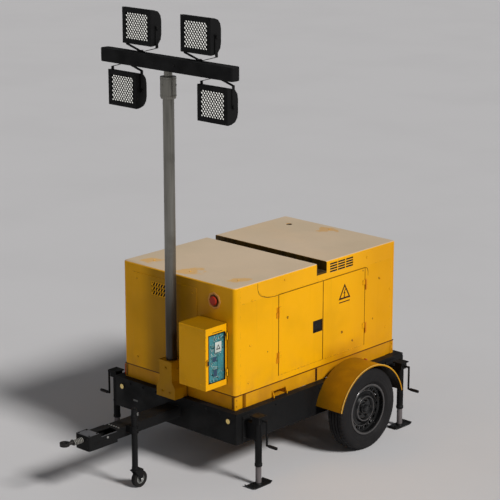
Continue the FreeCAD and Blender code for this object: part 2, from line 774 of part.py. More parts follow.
def drawbar():
    """A beam and a stepped coupling head, both hollow, and the clamp of the jockey tube."""
    wall, low_top = "head_wall", "head_low_top"
    beam = box("BeamOuter", ("-beam_half", "beam_half"), ("head_rear", "beam_rear"),
               ("beam_bottom", "beam_top"))
    bore = box("BeamBore", (f"-(beam_half - {wall})", f"beam_half - {wall}"),
               ("head_rear - 10", "beam_rear + 1"),
               (f"beam_bottom + {wall}", f"beam_top - {wall}"))
    head = padded("HeadFront", "XY", rectangle(("-head_half", "head_half"), ("head_front", "head_step")),
                  ("head_bottom", "head_top + 4"))
    rounded(head, "18", lambda edge: is_along("Z")(edge)
            and edge.Vertexes[0].Point.y < value("head_front + 1"))
    back = box("HeadBack", ("-head_half", "head_half"), ("head_step", "head_rear"), ("head_bottom", low_top))
    inside = (f"-(head_half - {wall})", f"head_half - {wall}")
    head_bore = box("HeadBore", inside, (f"head_front + {wall}", "head_step - 4"),
                    (f"head_bottom + {wall}", "head_top"))
    back_bore = box("HeadBackBore", inside, ("head_step - 5", "head_rear - 10"),
                    (f"head_bottom + {wall}", f"{low_top} - 6"))
    link = box("BeamLink", ("-beam_half", "beam_half"), ("head_rear - 10", "head_rear"),
               ("beam_bottom", "beam_top"))
    hatch = box("HeadHatch", ("hatch_left", "head_half + 5"), ("hatch_front", "hatch_rear"),
                ("hatch_sill", "head_top + 10"))
    shank = rod("ShankBore", "Y", "shank_radius + 0.5", ("0", "eye_z - shank_drop"),
                ("head_front - 5", "head_front + 20"))
    solid = cut("DrawbarSolid", fuse("DrawbarBlocks", beam, head, back, link), bore, head_bore, back_bore,
                hatch, shank)
    tall = ("clamp_bottom", "head_top")
    centre = ("jockey_x", "jockey_y")
    arm = box("JockeyClampArm", ("beam_half", "jockey_x"), ("jockey_y - 26", "jockey_y + 26"), tall)
    ring = rod("JockeyClampRing", "Z", "clamp_reach", centre, tall)
    clamp_bore = rod("JockeyClampBore", "Z", "jockey_bore", centre, ("clamp_bottom - 5", "head_top + 5"))
    slot = box("JockeyClampSlot", ("jockey_x", "jockey_x + 60"), ("jockey_y - 3", "jockey_y + 3"),
               ("clamp_bottom - 5", "head_top + 5"))
    node("drawbar", solid, cut("JockeyClamp", fuse("JockeyClampSolid", arm, ring), clamp_bore, slot))


def towing_eye():
    """A forged ring on a round shank that slides in the coupling head."""
    ring = rod("EyeRing", "Z", "eye_radius", ("0", "eye_y"),
               ("eye_z - eye_thick / 2", "eye_z + eye_thick / 2"))
    axis = ("0", "eye_z - shank_drop / 2")
    neck = cone("EyeNeck", "Y", ("10", "shank_radius + 3"), axis, ("eye_y + 26", "bellows_front - 8"))
    stop = rod("EyeStop", "Y", "bellows_radius", axis, ("bellows_front - 8", "bellows_front - 1"))
    shank = rod("EyeShank", "Y", "shank_radius", ("0", "eye_z - shank_drop"),
                ("bellows_front - 1", "head_front + 60"))
    hole = rod("EyeHole", "Z", "eye_hole", ("0", "eye_y"), ("eye_z - 40", "eye_z + 40"))
    rim = cone("EyeCountersink", "Z", ("eye_hole", "eye_hole + eye_rim"), ("0", "eye_y"),
               ("eye_z + eye_thick / 2 - eye_rim", "eye_z + eye_thick / 2"))
    node("towing_eye", cut("TowingEye", fuse("EyeSolid", ring, neck, stop, shank), hole, rim))


def hitch_bellows():
    """A ribbed rubber sleeve over the sliding shank."""
    folds = 6
    length = "(head_front - bellows_front)"
    outer, inner = [], "shank_radius + 1"
    for i in range(folds):
        outer.append((f"bellows_front + {length} * {i} / {folds}", "bellows_radius - 5"))
        outer.append((f"bellows_front + {length} * ({i} + 0.5) / {folds}", "bellows_radius"))
    outer.append(("head_front - 0.5", "bellows_radius - 5"))
    points = outer + [("head_front - 0.5", inner), ("bellows_front", inner)]
    body = revolved("Bellows", "XY", points, "H_Axis")
    body.Placement = FreeCAD.Placement(FreeCAD.Vector(), FreeCAD.Rotation(FreeCAD.Vector(0, 0, 1), 90))
    bind(body, Placement__Base__z="eye_z - shank_drop")
    node("hitch_bellows", body)


def jockey_wheel():
    centre = ("jockey_x", "jockey_y")
    post = tube("JockeyTube", "Z", ("jockey_tube", "jockey_tube - 4"), centre,
                ("jockey_tube_bottom", "jockey_top"))
    cap = rod("JockeyCap", "Z", "jockey_tube", centre, ("jockey_top", "jockey_top + 5"))
    screw = rod("JockeyScrew", "Z", "9", centre, ("jockey_top + 5", "jockey_top + 22"))
    node("jockey_tube", fuse("JockeyPost", post, cap, screw))

    wheel_y = "jockey_y + jockey_trail"
    axle_z = "jockey_wheel_radius"
    crown_z = ("2 * jockey_wheel_radius + 8", "2 * jockey_wheel_radius + 14")
    crown = box("ForkCrown", ("jockey_x - fork_half", "jockey_x + fork_half"),
                ("jockey_y - 26", f"{wheel_y} + 18"),
                crown_z)
    boss = rod("ForkBoss", "Z", "jockey_tube + 2", centre, (crown_z[1], "jockey_tube_bottom - 0.5"))
    stem = rod("ForkStem", "Z", "jockey_tube - 5", centre, (crown_z[1], "jockey_tube_bottom + 40"))
    cheeks = []
    for name, side in SIDES.items():
        reach = (f"{side} * fork_half", f"{side} * (fork_half - fork_cheek)")
        low, high = (f"jockey_x + {far}" for far in (reach if side < 0 else reach[::-1]))
        cheeks.append(padded(f"ForkCheek_{name}", "YZ",
                             [(f"{wheel_y} - 14", f"{axle_z} - 14"), (f"{wheel_y} + 14", f"{axle_z} - 14"),
                              (f"{wheel_y} + 18", crown_z[1]), ("jockey_y - 26", crown_z[1]),
                              (f"{wheel_y} - 18", f"{axle_z} + 14")],
                             (low, high)))
    axle = rod("ForkAxle", "X", "8", (wheel_y, axle_z),
               ("jockey_x - fork_half - 4", "jockey_x + fork_half + 4"))
    node("jockey_fork", fuse("JockeyFork", crown, boss, stem, axle, *cheeks))

    tread = rod("JockeyTread", "X", "jockey_wheel_radius", (wheel_y, axle_z),
                ("jockey_x - jockey_wheel_half", "jockey_x + jockey_wheel_half"))
    dishes = [rod(f"JockeyDish_{name}", "X", "38", (wheel_y, axle_z), span)
              for name, span in (("left", ("jockey_x - 30", "jockey_x - 8")),
                                 ("right", ("jockey_x + 8", "jockey_x + 30")))]
    hub = rod("JockeyHub", "X", "16", (wheel_y, axle_z), ("jockey_x - 23", "jockey_x + 23"))
    bore = rod("JockeyHubBore", "X", "8 + fit_gap", (wheel_y, axle_z), ("jockey_x - 40", "jockey_x + 40"))
    dished = cut("JockeyDished", tread, *dishes)
    node("jockey_wheel", cut("JockeyWheel", fuse("JockeyWheelSolid", dished, hub), bore))


# ---------------------------------------------------------------- axle and road wheels

def axle():
    beam_tall = ("axle_beam_top - axle_beam_size", "axle_beam_top")
    wide = ("axle_y - axle_beam_size / 2", "axle_y + axle_beam_size / 2")
    outer = box("AxleOuter", ("-690", "690"), wide, beam_tall)
    bore = box("AxleBore", ("-700", "700"), ("axle_y - 24", "axle_y + 24"),
               ("axle_beam_top - axle_beam_size + 6", "axle_beam_top - 6"))
    solids = [cut("AxleTube", outer, bore)]
    for name, side in SIDES.items():
        plate = side_box(f"AxlePlate_{name}", side, ("690", "708"), ("axle_y - 42", "axle_y + 42"),
                         (beam_tall[0], "tyre_radius + 45"))
        stub = rod(f"AxleStub_{name}", "X", "stub_radius", ("axle_y", "tyre_radius"),
                   mirrored_span(side, "707", "tyre_centre - 22"))
        solids.append(fuse(f"AxleEnd_{name}", plate, stub))
        solids.append(side_box(f"AxleSeat_{name}", side, ("600", "650"), ("axle_y - 60", "axle_y + 60"),
                               ("axle_beam_top", "chassis_bottom")))
    node("axle_beam", *solids)


def tyre(name, side):
    half, bead, tread = "tyre_half", "bead_radius", "tyre_radius"
    outer = [(f"{half} - 22", bead), (f"{half} - 22", f"{bead} + 14"), (half, f"{bead} + 38"),
             (half, f"{tread} - 46"), (f"{half} - 20", tread)]
    inner = [(f"{half} - 34", f"{bead} + 8"), (f"{half} - 14", f"{bead} + 42"),
             (f"{half} - 14", f"{tread} - 50"), (f"{half} - 32", f"{tread} - 14")]
    left_half = [(f"-({a})", r) for a, r in outer]
    right_half = outer[::-1]
    hollow = inner + [(f"-({a})", r) for a, r in inner[::-1]]
    body = revolved(f"Tyre_{name}", "XY", left_half + right_half + hollow, "H_Axis")
    limit = value("bead_radius + 20")

    def outer_edge(edge):
        curve = edge.Curve
        if curve.TypeId != "Part::GeomCircle" or curve.Radius < limit:
            return False
        wall = abs(curve.Center.x)
        return wall > value("tyre_half - 1") or curve.Radius > value("tyre_radius - 1")
    rounded(body, "18", outer_edge)
    bind(body, Placement__Base__x=f"{side} * tyre_centre", Placement__Base__y="axle_y",
         Placement__Base__z="tyre_radius")
    node(f"tyre_{name}", body)


def wheel(name, side):
    """A pressed steel disc wheel with vent holes, nuts, hub and brake drum."""
    centre = ("axle_y", "tyre_radius")

    def reach(low, high):
        if side > 0:
            return (f"tyre_centre + ({low})", f"tyre_centre + ({high})")
        return (f"-(tyre_centre + ({high}))", f"-(tyre_centre + ({low}))")
    barrel = tube(f"Barrel_{name}", "X", ("bead_radius - 0.5", "bead_radius - 6"), centre, reach(-64, 64))
    flanges = [tube(f"Flange_{name}_{i}", "X", ("bead_radius + 13", "bead_radius - 6"), centre, reach(a, b))
               for i, (a, b) in enumerate(((62.2, 68), (-68, -62.2)))]
    face = [(32, "bead_radius - 5"), (24, "bead_radius - 20"), (20, 144), (30, 116), (44, 104), (44, 90),
            (28, 78),
            (28, 0)]
    back = [(f"{a} - 6", r) for a, r in reversed(face)]
    dish = revolved(f"Dish_{name}", "XY", [(str(a), str(r)) for a, r in face + back], "H_Axis")
    if side < 0:
        dish.Placement = FreeCAD.Placement(FreeCAD.Vector(), FreeCAD.Rotation(FreeCAD.Vector(0, 0, 1), 180))
    bind(dish, Placement__Base__x=f"{side} * tyre_centre", Placement__Base__y="axle_y",
         Placement__Base__z="tyre_radius")
    cap = rod(f"HubCap_{name}", "X", "44", centre, reach(27, 38))
    nose = cone(f"HubNose_{name}", "X", ("32", "24") if side > 0 else ("24", "32"), centre, reach(38, 52))
    drum = rod(f"Drum_{name}", "X", "118", centre, reach(-60, 2))
    hub = rod(f"Hub_{name}", "X", "46", centre, reach(-78, 25))
    nuts = []
    for i, dy, dz in ring_of(5, 61):
        nut = doc.addObject("Part::Prism", f"Nut_{name}_{i}")
        nut.Polygon = 6
        nut.Circumradius = 10
        nut.Placement = FreeCAD.Placement(FreeCAD.Vector(), AXIS_TURN["X"])
        bind(nut, Height="14")
        place(nut, reach(26, 40)[0], f"axle_y + {dy:.3f}", f"tyre_radius + {dz:.3f}")
        nuts.append(nut)
    solid = fuse(f"WheelSolid_{name}", barrel, dish, cap, nose, drum, hub, *nuts, *flanges)
    holes = [rod(f"Vent_{name}_{i}", "X", "11", (f"axle_y + {dy:.3f}", f"tyre_radius + {dz:.3f}"),
                 reach(5, 40))
             for i, dy, dz in ring_of(18, 161)]
    bore = rod(f"HubBore_{name}", "X", "stub_radius + fit_gap", centre, reach(-90, -18))
    node(f"wheel_{name}", cut(f"Wheel_{name}", solid, bore, *holes))


# ---------------------------------------------------------------- corner jacks

def jacks():
    housings = []
    for end, line in ENDS.items():
        for name, side in SIDES.items():
            tag = f"{end}_{name}"
            x = f"{side} * jack_x"
            sleeve = rod(f"JackSleeve_{tag}", "Z", "jack_radius", (x, line), ("jack_bottom", "jack_cap - 8"))
            cap = side_box(f"JackCap_{tag}", side, ("jack_x - jack_cap_half", "jack_x + jack_cap_half"),
                           (f"{line} - jack_cap_half", f"{line} + jack_cap_half"),
                           ("jack_cap - 8", "jack_cap"))
            gear = side_box(f"JackGear_{tag}", side, ("jack_x - 34", "jack_x + 34"),
                            (f"{line} - 34", f"{line} + 34"),
                            ("crank_z - 26", "jack_cap - 8"))
            arm = side_box(f"JackArm_{tag}", side, ("chassis_half", "jack_x - 10"),
                           (f"{line} - 22", f"{line} + 22"),
                           ("chassis_bottom + 40", "chassis_top - 70"))
            flange = side_box(f"JackFlange_{tag}", side, ("chassis_half", "chassis_half + 8"),
                              (f"{line} - 60", f"{line} + 60"), ("chassis_bottom + 15", "chassis_top - 25"))
            bore = rod(f"JackBore_{tag}", "Z", "leg_bore", (x, line), ("jack_bottom - 5", "crank_z - 12"))
            shaft_hole = rod(f"JackShaftHole_{tag}", "X", "crank_bar + fit_gap", (line, "crank_z"),
                             mirrored_span(side, "jack_x - 10", "jack_x + 50"))
            solid = fuse(f"JackSolid_{tag}", sleeve, cap, gear, arm, flange)
            housings.append(cut(f"JackHousing_{tag}", solid, bore, shaft_hole))
            jack_leg(tag, side, x, line)
            jack_crank(tag, side, line)
    node("jack_housings", *housings)


def jack_leg(tag, side, x, line):
    """The sliding leg and its foot pad with turned-up ends."""
    column = rod(f"Leg_{tag}", "Z", "leg_radius", (x, line), ("4", "leg_top"))
    bore = rod(f"LegBore_{tag}", "Z", "leg_radius - 4", (x, line), ("20", "leg_top + 1"))
    half = "pad_length / 2"
    plate = padded(f"Pad_{tag}", "YZ",
                   [(f"{line} - {half} + 22", "0"), (f"{line} + {half} - 22", "0"),
                    (f"{line} + {half}", "14"),
                    (f"{line} + {half} - 5", "20"), (f"{line} + {half} - 25", "8"),
                    (f"{line} - {half} + 25", "8"), (f"{line} - {half} + 5", "20"),
                    (f"{line} - {half}", "14")],
                   mirrored_span(side, "jack_x - pad_width / 2", "jack_x + pad_width / 2"))
    node(f"jack_leg_{tag}", cut(f"JackLeg_{tag}", fuse(f"LegSolid_{tag}", column, plate), bore))


def jack_crank(tag, side, line):
    """A shaft, a hanging arm and a grip bent from round bar."""
    bar = "crank_bar"
    shaft = rod(f"CrankShaft_{tag}", "X", bar, (line, "crank_z"),
                mirrored_span(side, "jack_x - 8", "crank_x + 6"))
    arm = rod(f"CrankArm_{tag}", "Z", bar, (f"{side} * crank_x", line), ("crank_z - crank_arm", "crank_z"))
    elbow = doc.addObject("Part::Sphere", f"CrankElbow_{tag}")
    bind(elbow, Radius=bar)
    place(elbow, f"{side} * crank_x", line, "crank_z")
    heel = doc.addObject("Part::Sphere", f"CrankHeel_{tag}")
    bind(heel, Radius=bar)
    place(heel, f"{side} * crank_x", line, "crank_z - crank_arm")
    grip = rod(f"CrankGrip_{tag}", "X", f"{bar} + 0.5", (line, "crank_z - crank_arm"),
               mirrored_span(side, "crank_x + 2", "crank_grip_end"))
    node(f"jack_crank_{tag}", fuse(f"JackCrank_{tag}", shaft, arm, elbow, heel, grip))


# ---------------------------------------------------------------- mast

def mast():
    half, base = "sleeve_half", "sleeve_base_half"
    outline = [(f"-{base}", "chassis_top"), (base, "chassis_top"), (base, "sleeve_flare_low"),
               (half, "sleeve_flare_top"), (half, "sleeve_top"), (f"-{half}", "sleeve_top"),
               (f"-{half}", "sleeve_flare_top"), (f"-{base}", "sleeve_flare_low")]
    block = padded("BracketBlock", "XZ", outline, (f"mast_y - {half}", f"mast_y + {half}"))
    hollow = box("BracketHollow", ("-58", "58"), ("mast_y - 58", "mast_y + 58"),
                 ("sleeve_flare_low - 50", "sleeve_top - 14"))
    bore = rod("BracketBore", "Z", "mast_radius + 0.3", ("0", "mast_y"), ("mast_foot - 2", "sleeve_top + 5"))
    node("mast_bracket", cut("MastBracket", block, hollow, bore))

    profile = [("mast_bore", "mast_foot"), ("mast_radius", "mast_foot"), ("mast_radius", "collar_bottom"),
               ("collar_radius - 4", "collar_bottom"), ("collar_radius", "collar_bottom + 14"),
               ("collar_radius", "collar_top"), ("inner_radius + 0.4", "collar_top"),
               ("inner_radius + 0.4", "collar_top - 40"), ("mast_bore", "collar_top - 40")]
    outer = revolved("MastOuter", "XZ", profile, "V_Axis")
    bind(outer, Placement__Base__y="mast_y")
    node("mast_outer_tube", outer)

    bore_radius = "inner_radius - inner_wall"
    profile = [(bore_radius, "inner_foot"), ("mast_bore - 0.5", "inner_foot"),
               ("mast_bore - 0.5", "inner_foot + 60"), ("inner_radius", "inner_foot + 60"),
               ("inner_radius", "bar_bottom"), (bore_radius, "bar_bottom")]
    inner = revolved("MastInner", "XZ", profile, "V_Axis")
    bind(inner, Placement__Base__y="mast_y")
    node("mast_inner_tube", inner)

    deep = ("mast_y - bar_depth / 2", "mast_y + bar_depth / 2")
    bar = padded("BarBlock", "XY", rectangle(("-bar_half", "bar_half"), deep), ("bar_bottom", "bar_top"))
    rounded(bar, "bar_corner", is_along("Z"))
    rounded(bar, "5", lambda edge: is_at("Z", value("bar_top"))(edge)
            or is_at("Z", value("bar_bottom"))(edge))
    hollow = box("BarHollow", ("-bar_half + bar_corner", "bar_half - bar_corner"),
                 (f"{deep[0]} + bar_wall", f"{deep[1]} - bar_wall"),
                 ("bar_bottom + bar_wall", "bar_top - bar_wall"))
    mouth = rod("BarMouth", "Z", bore_radius, ("0", "mast_y"), ("bar_bottom - 5", "bar_bottom + 20"))
    node("mast_crossbar", cut("MastCrossbar", bar, hollow, mouth))


# ---------------------------------------------------------------- lamps

def lamp_stations():
    """Each lamp's name, its place along the bar and whether it stands (1) or hangs (-1)."""
    return (("upper_left", "-lamp_upper_x", 1), ("upper_right", "lamp_upper_x", 1),
            ("lower_left", "-lamp_lower_x", -1), ("lower_right", "lamp_lower_x", -1))


def lamp_level(up, height):
    """A height over the bar's top face, or below its bottom face for a hanging lamp."""
    return f"bar_top + ({height})" if up > 0 else f"bar_bottom - ({height})"


def lamp_yoke(tag, x, up):
    strip, knee, foot = "yoke_strip", "yoke_knee", "yoke_foot_half"
    arm = "lamp_half + 8"
    top = "lamp_rise + 16"
    right = [(foot, "0"), (arm, knee), (arm, top), (f"{arm} - {strip}", top),
             (f"{arm} - {strip}", f"{knee} + {strip}"), (foot, strip)]
    left = [(f"-({a})", h) for a, h in reversed(right)]
    outline = [(f"{x} + ({a})", lamp_level(up, h)) for a, h in right + left]
    band = padded(f"YokeBand_{tag}", "XZ", outline, ("yoke_y - yoke_width / 2", "yoke_y + yoke_width / 2"))
    level = lamp_level(up, "lamp_rise")
    pins = []
    for name, side in SIDES.items():
        span = (f"{x} + lamp_half - 14", f"{x} + lamp_half + 20")
        if side < 0:
            span = (f"{x} - lamp_half - 20", f"{x} - lamp_half + 14")
        pins.append(rod(f"YokePin_{tag}_{name}", "X", "6", ("yoke_y", level), span))
        knob = (f"{x} + lamp_half + 8", f"{x} + lamp_half + 20")
        if side < 0:
            knob = (f"{x} - lamp_half - 20", f"{x} - lamp_half - 8")
        pins.append(rod(f"YokeKnob_{tag}_{name}", "X", "13", ("yoke_y", level), knob))
    low, high = (lamp_level(up, strip), lamp_level(up, f"{strip} + 8"))
    bolt = rod(f"YokeBolt_{tag}", "Z", "9", (x, "yoke_y"), (low, high) if up > 0 else (high, low))
    node(f"lamp_yoke_{tag}", fuse(f"LampYoke_{tag}", band, bolt, *pins))


def lamp_head(tag, x, up):
    """A floodlight housing: a square front, a rounded back with cooling slots and a recess for the glass."""
    level = lamp_level(up, "lamp_rise")
    front = "(yoke_y - lamp_depth / 2)"
    tall = "lamp_height / 2"
    shape = [("0", tall), ("0.35 * lamp_depth", f"{tall} - 3"), ("0.72 * lamp_depth", f"{tall} - 17"),
             ("0.93 * lamp_depth", f"{tall} - 46"), ("lamp_depth", f"{tall} - 84")]
    half_outline = [(f"{front} + {a}", f"({level}) + ({h})") for a, h in shape]
    other_half = [(f"{front} + {a}", f"({level}) - ({h})") for a, h in reversed(shape)]
    block = padded(f"LampBlock_{tag}", "YZ", half_outline + other_half,
                   (f"{x} - lamp_half", f"{x} + lamp_half"))
    rounded(block, "4", is_at("Y", value(front)))
    glass = box(f"LampRecess_{tag}", (f"{x} - glass_half", f"{x} + glass_half"),
                (f"{front} - 5", f"{front} + glass_recess"),
                (f"({level}) - glass_half_height", f"({level}) + glass_half_height"))
    bore = rod(f"LampBore_{tag}", "X", "6 + fit_gap", ("yoke_y", level),
               (f"{x} + lamp_half - 15", f"{x} + lamp_half + 5"))
    bore_left = rod(f"LampBoreLeft_{tag}", "X", "6 + fit_gap", ("yoke_y", level),
                    (f"{x} - lamp_half - 5", f"{x} - lamp_half + 15"))
    slots = [box(f"LampSlot_{tag}_{i}", (f"{x} + {-119 + 26 * i}", f"{x} + {-119 + 26 * i + 14}"),
                 (f"{front} + 0.74 * lamp_depth", f"{front} + lamp_depth + 5"),
                 (f"({level}) - {tall} - 5", f"({level}) + {tall} + 5"))
             for i in range(10)]
    cavity = box(f"LampCavity_{tag}", (f"{x} - lamp_half + 24", f"{x} + lamp_half - 24"),
                 (f"{front} + glass_recess + 8", f"{front} + 0.7 * lamp_depth"),
                 (f"({level}) - {tall} + 24", f"({level}) + {tall} - 24"))
    node(f"lamp_head_{tag}", cut(f"LampHead_{tag}", block, glass, cavity, bore, bore_left, *slots))


# ---------------------------------------------------------------- control box and emergency stop

def control_box():
    wall = "box_wall"
    body = padded("BoxOuter", "XY",
                  rectangle(("box_left", f"box_right - {wall}"), ("box_front", "canopy_front")),
                  ("box_bottom", "box_top"))
    right = value(f"box_right - {wall}")
    rounded(body, "6", lambda edge: is_along("Z")(edge) and is_at("Y", value("box_front"))(edge)
            and is_at("X", value("box_left"))(edge))
    rounded(body, "5", lambda edge: is_at("Z", value("box_top"))(edge) and not is_at("X", right)(edge)
            and not is_at("Y", value("canopy_front"))(edge))
    hollow = box("BoxHollow", (f"box_left + {wall}", "box_right + 5"),
                 (f"box_front + {wall}", f"canopy_front - {wall}"),
                 (f"box_bottom + {wall}", f"box_top - {wall}"))
    hinges = []
    x, y = control_hinge()
    for i, level in enumerate(control_hinge_levels()):
        knuckle = rod(f"BoxKnuckle{i}", "Z", "6", (x, y), (level, f"{level} + 27"))
        pin = rod(f"BoxPin{i}", "Z", "hinge_pin", (x, y), (level, f"{level} + 50"))
        leaf = box(f"BoxLeaf{i}", (f"box_right - {wall} - 6", x), (f"{y} + 1", f"{y} + 7"),
                   (level, f"{level} + 27"))
        hinges.append(fuse(f"BoxHinge{i}", knuckle, pin, leaf))
    node("control_box", fuse("ControlBox", cut("BoxShell", body, hollow), *hinges))

    plate = box("BoxDoorPlate", (f"box_right - {wall} + 0.3", "box_right + 0.3"),
                ("box_front + 0.5", "canopy_front - 10"),
                ("box_bottom + 0.5", "box_top - 0.5"))
    window = box("BoxDoorWindow", ("box_right - 20", "box_right + 20"), ("window_front", "window_rear"),
                 ("window_bottom", "window_top"))
    pieces = [cut("BoxDoorFrame", plate, window)]
    handle = box("BoxDoorHandle", ("box_right + 0.3", "box_right + 12"), ("box_front + 8", "box_front + 22"),
                 ("(box_bottom + box_top) / 2 - 44", "(box_bottom + box_top) / 2"))
    for i, level in enumerate(control_hinge_levels()):
        knuckle = rod(f"BoxDoorKnuckle{i}", "Z", "6", (x, y), (f"{level} + 28", f"{level} + 54"))
        leaf = box(f"BoxDoorLeaf{i}", ("box_right + 0.3", "box_right + 3.3"), ("window_rear", y),
                   (f"{level} + 28", f"{level} + 54"))
        bore = rod(f"BoxDoorBore{i}", "Z", "hinge_pin + fit_gap", (x, y),
                   (f"{level} + 20", f"{level} + 50.5"))
        pieces.append(cut(f"BoxDoorHinge{i}", fuse(f"BoxDoorHingeSolid{i}", knuckle, leaf), bore))
    node("control_box_door", *pieces, handle)

    backing = box("BoardPlate", ("board_x", "board_x + 3"), ("box_front + 24", "canopy_front - 24"),
                  ("box_bottom + 24", "box_top - 30"))
    blocks = [box(f"BoardPart{i}", ("board_x + 2", f"board_x + {deep}"),
                  (f"box_front + {a}", f"box_front + {b}"),
                  (f"box_bottom + {c}", f"box_bottom + {d}"))
              for i, (deep, a, b, c, d) in enumerate((
                  (6, 34, 86, 338, 412), (10, 104, 177, 269, 354), (9, 78, 124, 202, 244),
                  (7, 140, 196, 120, 236), (9, 89, 130, 87, 145), (8, 34, 70, 72, 180),
                  (6, 34, 62, 210, 310), (7, 150, 200, 56, 104)))]
    posts = [box(f"BoardPost{i}", (f"box_left + {wall} - 1", "board_x + 1"),
                 (f"box_front + {a}", f"box_front + {a} + 12"),
                 (f"box_bottom + {c}", f"box_bottom + {c} + 12"))
             for i, (a, c) in enumerate(((34, 36), (182, 36), (34, 400), (182, 400)))]
    node("control_board", cut("BoardMounted", fuse("BoardSolid", backing, *blocks, *posts),
                              box("BoardTrim", ("box_left - 9", f"box_left + {wall}"),
                                  ("box_front", "canopy_front"),
                                  ("box_bottom", "box_top"))))


def control_hinge():
    return "box_right + 7", "canopy_front - 9"


def control_hinge_levels():
    return "box_bottom + 70", "box_top - 124"


def emergency_stop():
    """A mushroom button that travels into its collar."""
    centre, tip = ("stop_x", "stop_z"), "canopy_front - stop_proud"
    head = cone("StopHead", "Y", ("stop_radius - 5", "stop_radius"), centre, (tip, f"{tip} + 6"))
    rim = rod("StopRim", "Y", "stop_radius", centre, (f"{tip} + 6", f"{tip} + 12"))
    stem = rod("StopStem", "Y", "stop_stem", centre, (f"{tip} + 11", "canopy_front + 12"))
    node("emergency_stop_button", fuse("StopButton", head, rim, stem))


# ---------------------------------------------------------------- generating set inside the canopy

def engine():
    y = ("engine_front", "engine_rear")
    floor = "skid_top - 6"
    block = box("EngineBlock", ("-165", "165"), y, ("crank_height - 90", "crank_height + 160"))
    hollow = box("EngineHollow", ("-150", "150"), (f"{y[0]} + 15", f"{y[1]} - 15"),
                 ("crank_height - 100", "crank_height + 145"))
    sump = box("EngineSump", ("-160", "160"), (f"{y[0]} + 20", f"{y[1]} - 20"),
               ("crank_height - 180", "crank_height - 90"))
    sump_hollow = box("SumpHollow", ("-148", "148"), (f"{y[0]} + 30", f"{y[1]} - 30"),
                      ("crank_height - 170", "crank_height - 80"))
    head = box("CylinderHead", ("-110", "110"), (f"{y[0]} + 10", f"{y[1]} - 10"),
               ("crank_height + 160", "crank_height + 250"))
    rocker = box("RockerCover", ("-80", "80"), (f"{y[0]} + 20", f"{y[1]} - 20"),
                 ("crank_height + 250", "crank_height + 300"))
    shaft = rod("CrankshaftNose", "Y", "28", ("0", "crank_height"), (y[1], "fan_y - 25"))
    pump = rod("WaterPump", "Y", "32", ("0", "crank_height + 90"), (f"{y[1]} - 1", "fan_y - 21"))
    feet = [side_box(f"EngineFoot_{name}_{i}", side, ("164", "215"), (f"{at}", f"{at} + 50"),
                     (floor, "crank_height - 60"))
            for name, side in SIDES.items()
            for i, at in enumerate(("engine_front + 60", "engine_rear - 110"))]
    filters = [rod("OilFilter", "X", "45", ("engine_front + 130", "crank_height + 20"), ("165", "245")),
               rod("AirCleaner", "Y", "85", ("-190", "crank_height + 330"),
                   ("engine_front + 20", "engine_front + 320"))]
    manifold = side_box("IntakeManifold", -1, ("109", "160"), (f"{y[0]} + 60", f"{y[1]} - 60"),
                        ("crank_height + 170", "crank_height + 225"))
    link = box("IntakeDuct", ("-190", "-120"), ("engine_front + 150", "engine_front + 210"),
               ("crank_height + 215", "crank_height + 260"))
    solid = fuse("EngineSolid", block, sump, head, rocker, shaft, pump, manifold, link, *feet, *filters)
    node("engine_block", cut("Engine", solid, hollow, sump_hollow))


def alternator():
    centre = ("0", "crank_height")
    shell = rod("AlternatorShell", "Y", "165", centre, ("engine_front - 430", "engine_front - 60"))
    hollow = rod("AlternatorHollow", "Y", "120", centre, ("engine_front - 400", "engine_front - 50"))
    adaptor = tube("AlternatorAdaptor", "Y", ("175", "120"), centre, ("engine_front - 60", "engine_front"))
    bearing = rod("AlternatorBearing", "Y", "60", centre, ("engine_front - 450", "engine_front - 429"))
    terminals = box("AlternatorTerminals", ("-90", "90"), ("engine_front - 360", "engine_front - 180"),
                    ("crank_height + 150", "crank_height + 250"))
    feet = [side_box(f"AlternatorFoot_{name}", side, ("100", "190"),
                     ("engine_front - 340", "engine_front - 150"),
                     ("skid_top - 6", "crank_height - 120"))
            for name, side in SIDES.items()]
    node("alternator",
         cut("Alternator", fuse("AlternatorSolid", shell, bearing, terminals, adaptor, *feet), hollow))


def cooling():
    centre = ("0", "crank_height + 90")
    hub = rod("FanHub", "Y", "45", centre, ("fan_y - 20", "fan_y + 20"))
    blades = []
    for i in range(7):
        blade = doc.addObject("Part::Box", f"FanBlade{i}")
        bind(blade, Length="175", Width="5", Height="58")
        tilt = FreeCAD.Rotation(FreeCAD.Vector(1, 0, 0), 28)
        spin = FreeCAD.Rotation(FreeCAD.Vector(0, 1, 0), 360 / 7 * i)
        start = FreeCAD.Placement(FreeCAD.Vector(30, 0, -29), FreeCAD.Rotation())
        turned = FreeCAD.Placement(FreeCAD.Vector(), spin.multiply(tilt)).multiply(start)
        blade.Placement = turned
        base = turned.Base
        place(blade, f"{base.x:.4f}", f"fan_y + ({base.y:.4f})", f"crank_height + 90 + ({base.z:.4f})")
        blades.append(blade)
    node("engine_fan", fuse("EngineFan", hub, *blades))

    wide = ("-255", "255")
    core = box("RadiatorCore", wide, ("radiator_y", "radiator_y + 60"),
               ("crank_height - 170", "crank_height + 330"))
    cells = box("RadiatorCells", ("-225", "225"), ("radiator_y - 5", "radiator_y + 15"),
                ("crank_height - 140", "crank_height + 300"))
    cells_back = box("RadiatorCellsBack", ("-225", "225"), ("radiator_y + 45", "radiator_y + 65"),
                     ("crank_height - 140", "crank_height + 300"))
    tank = box("RadiatorTank", wide, ("radiator_y - 10", "radiator_y + 70"),
               ("crank_height + 320", "crank_height + 380"))
    neck = rod("RadiatorNeck", "Z", "28", ("150", "radiator_y + 30"),
               ("crank_height + 379", "crank_height + 410"))
    foot = box("RadiatorFoot", wide, ("radiator_y", "radiator_y + 60"),
               ("skid_top - 6", "crank_height - 169"))
    core_cut = cut("RadiatorCoreCut", core, cells, cells_back)
    node("radiator", fuse("Radiator", core_cut, tank, neck, foot))


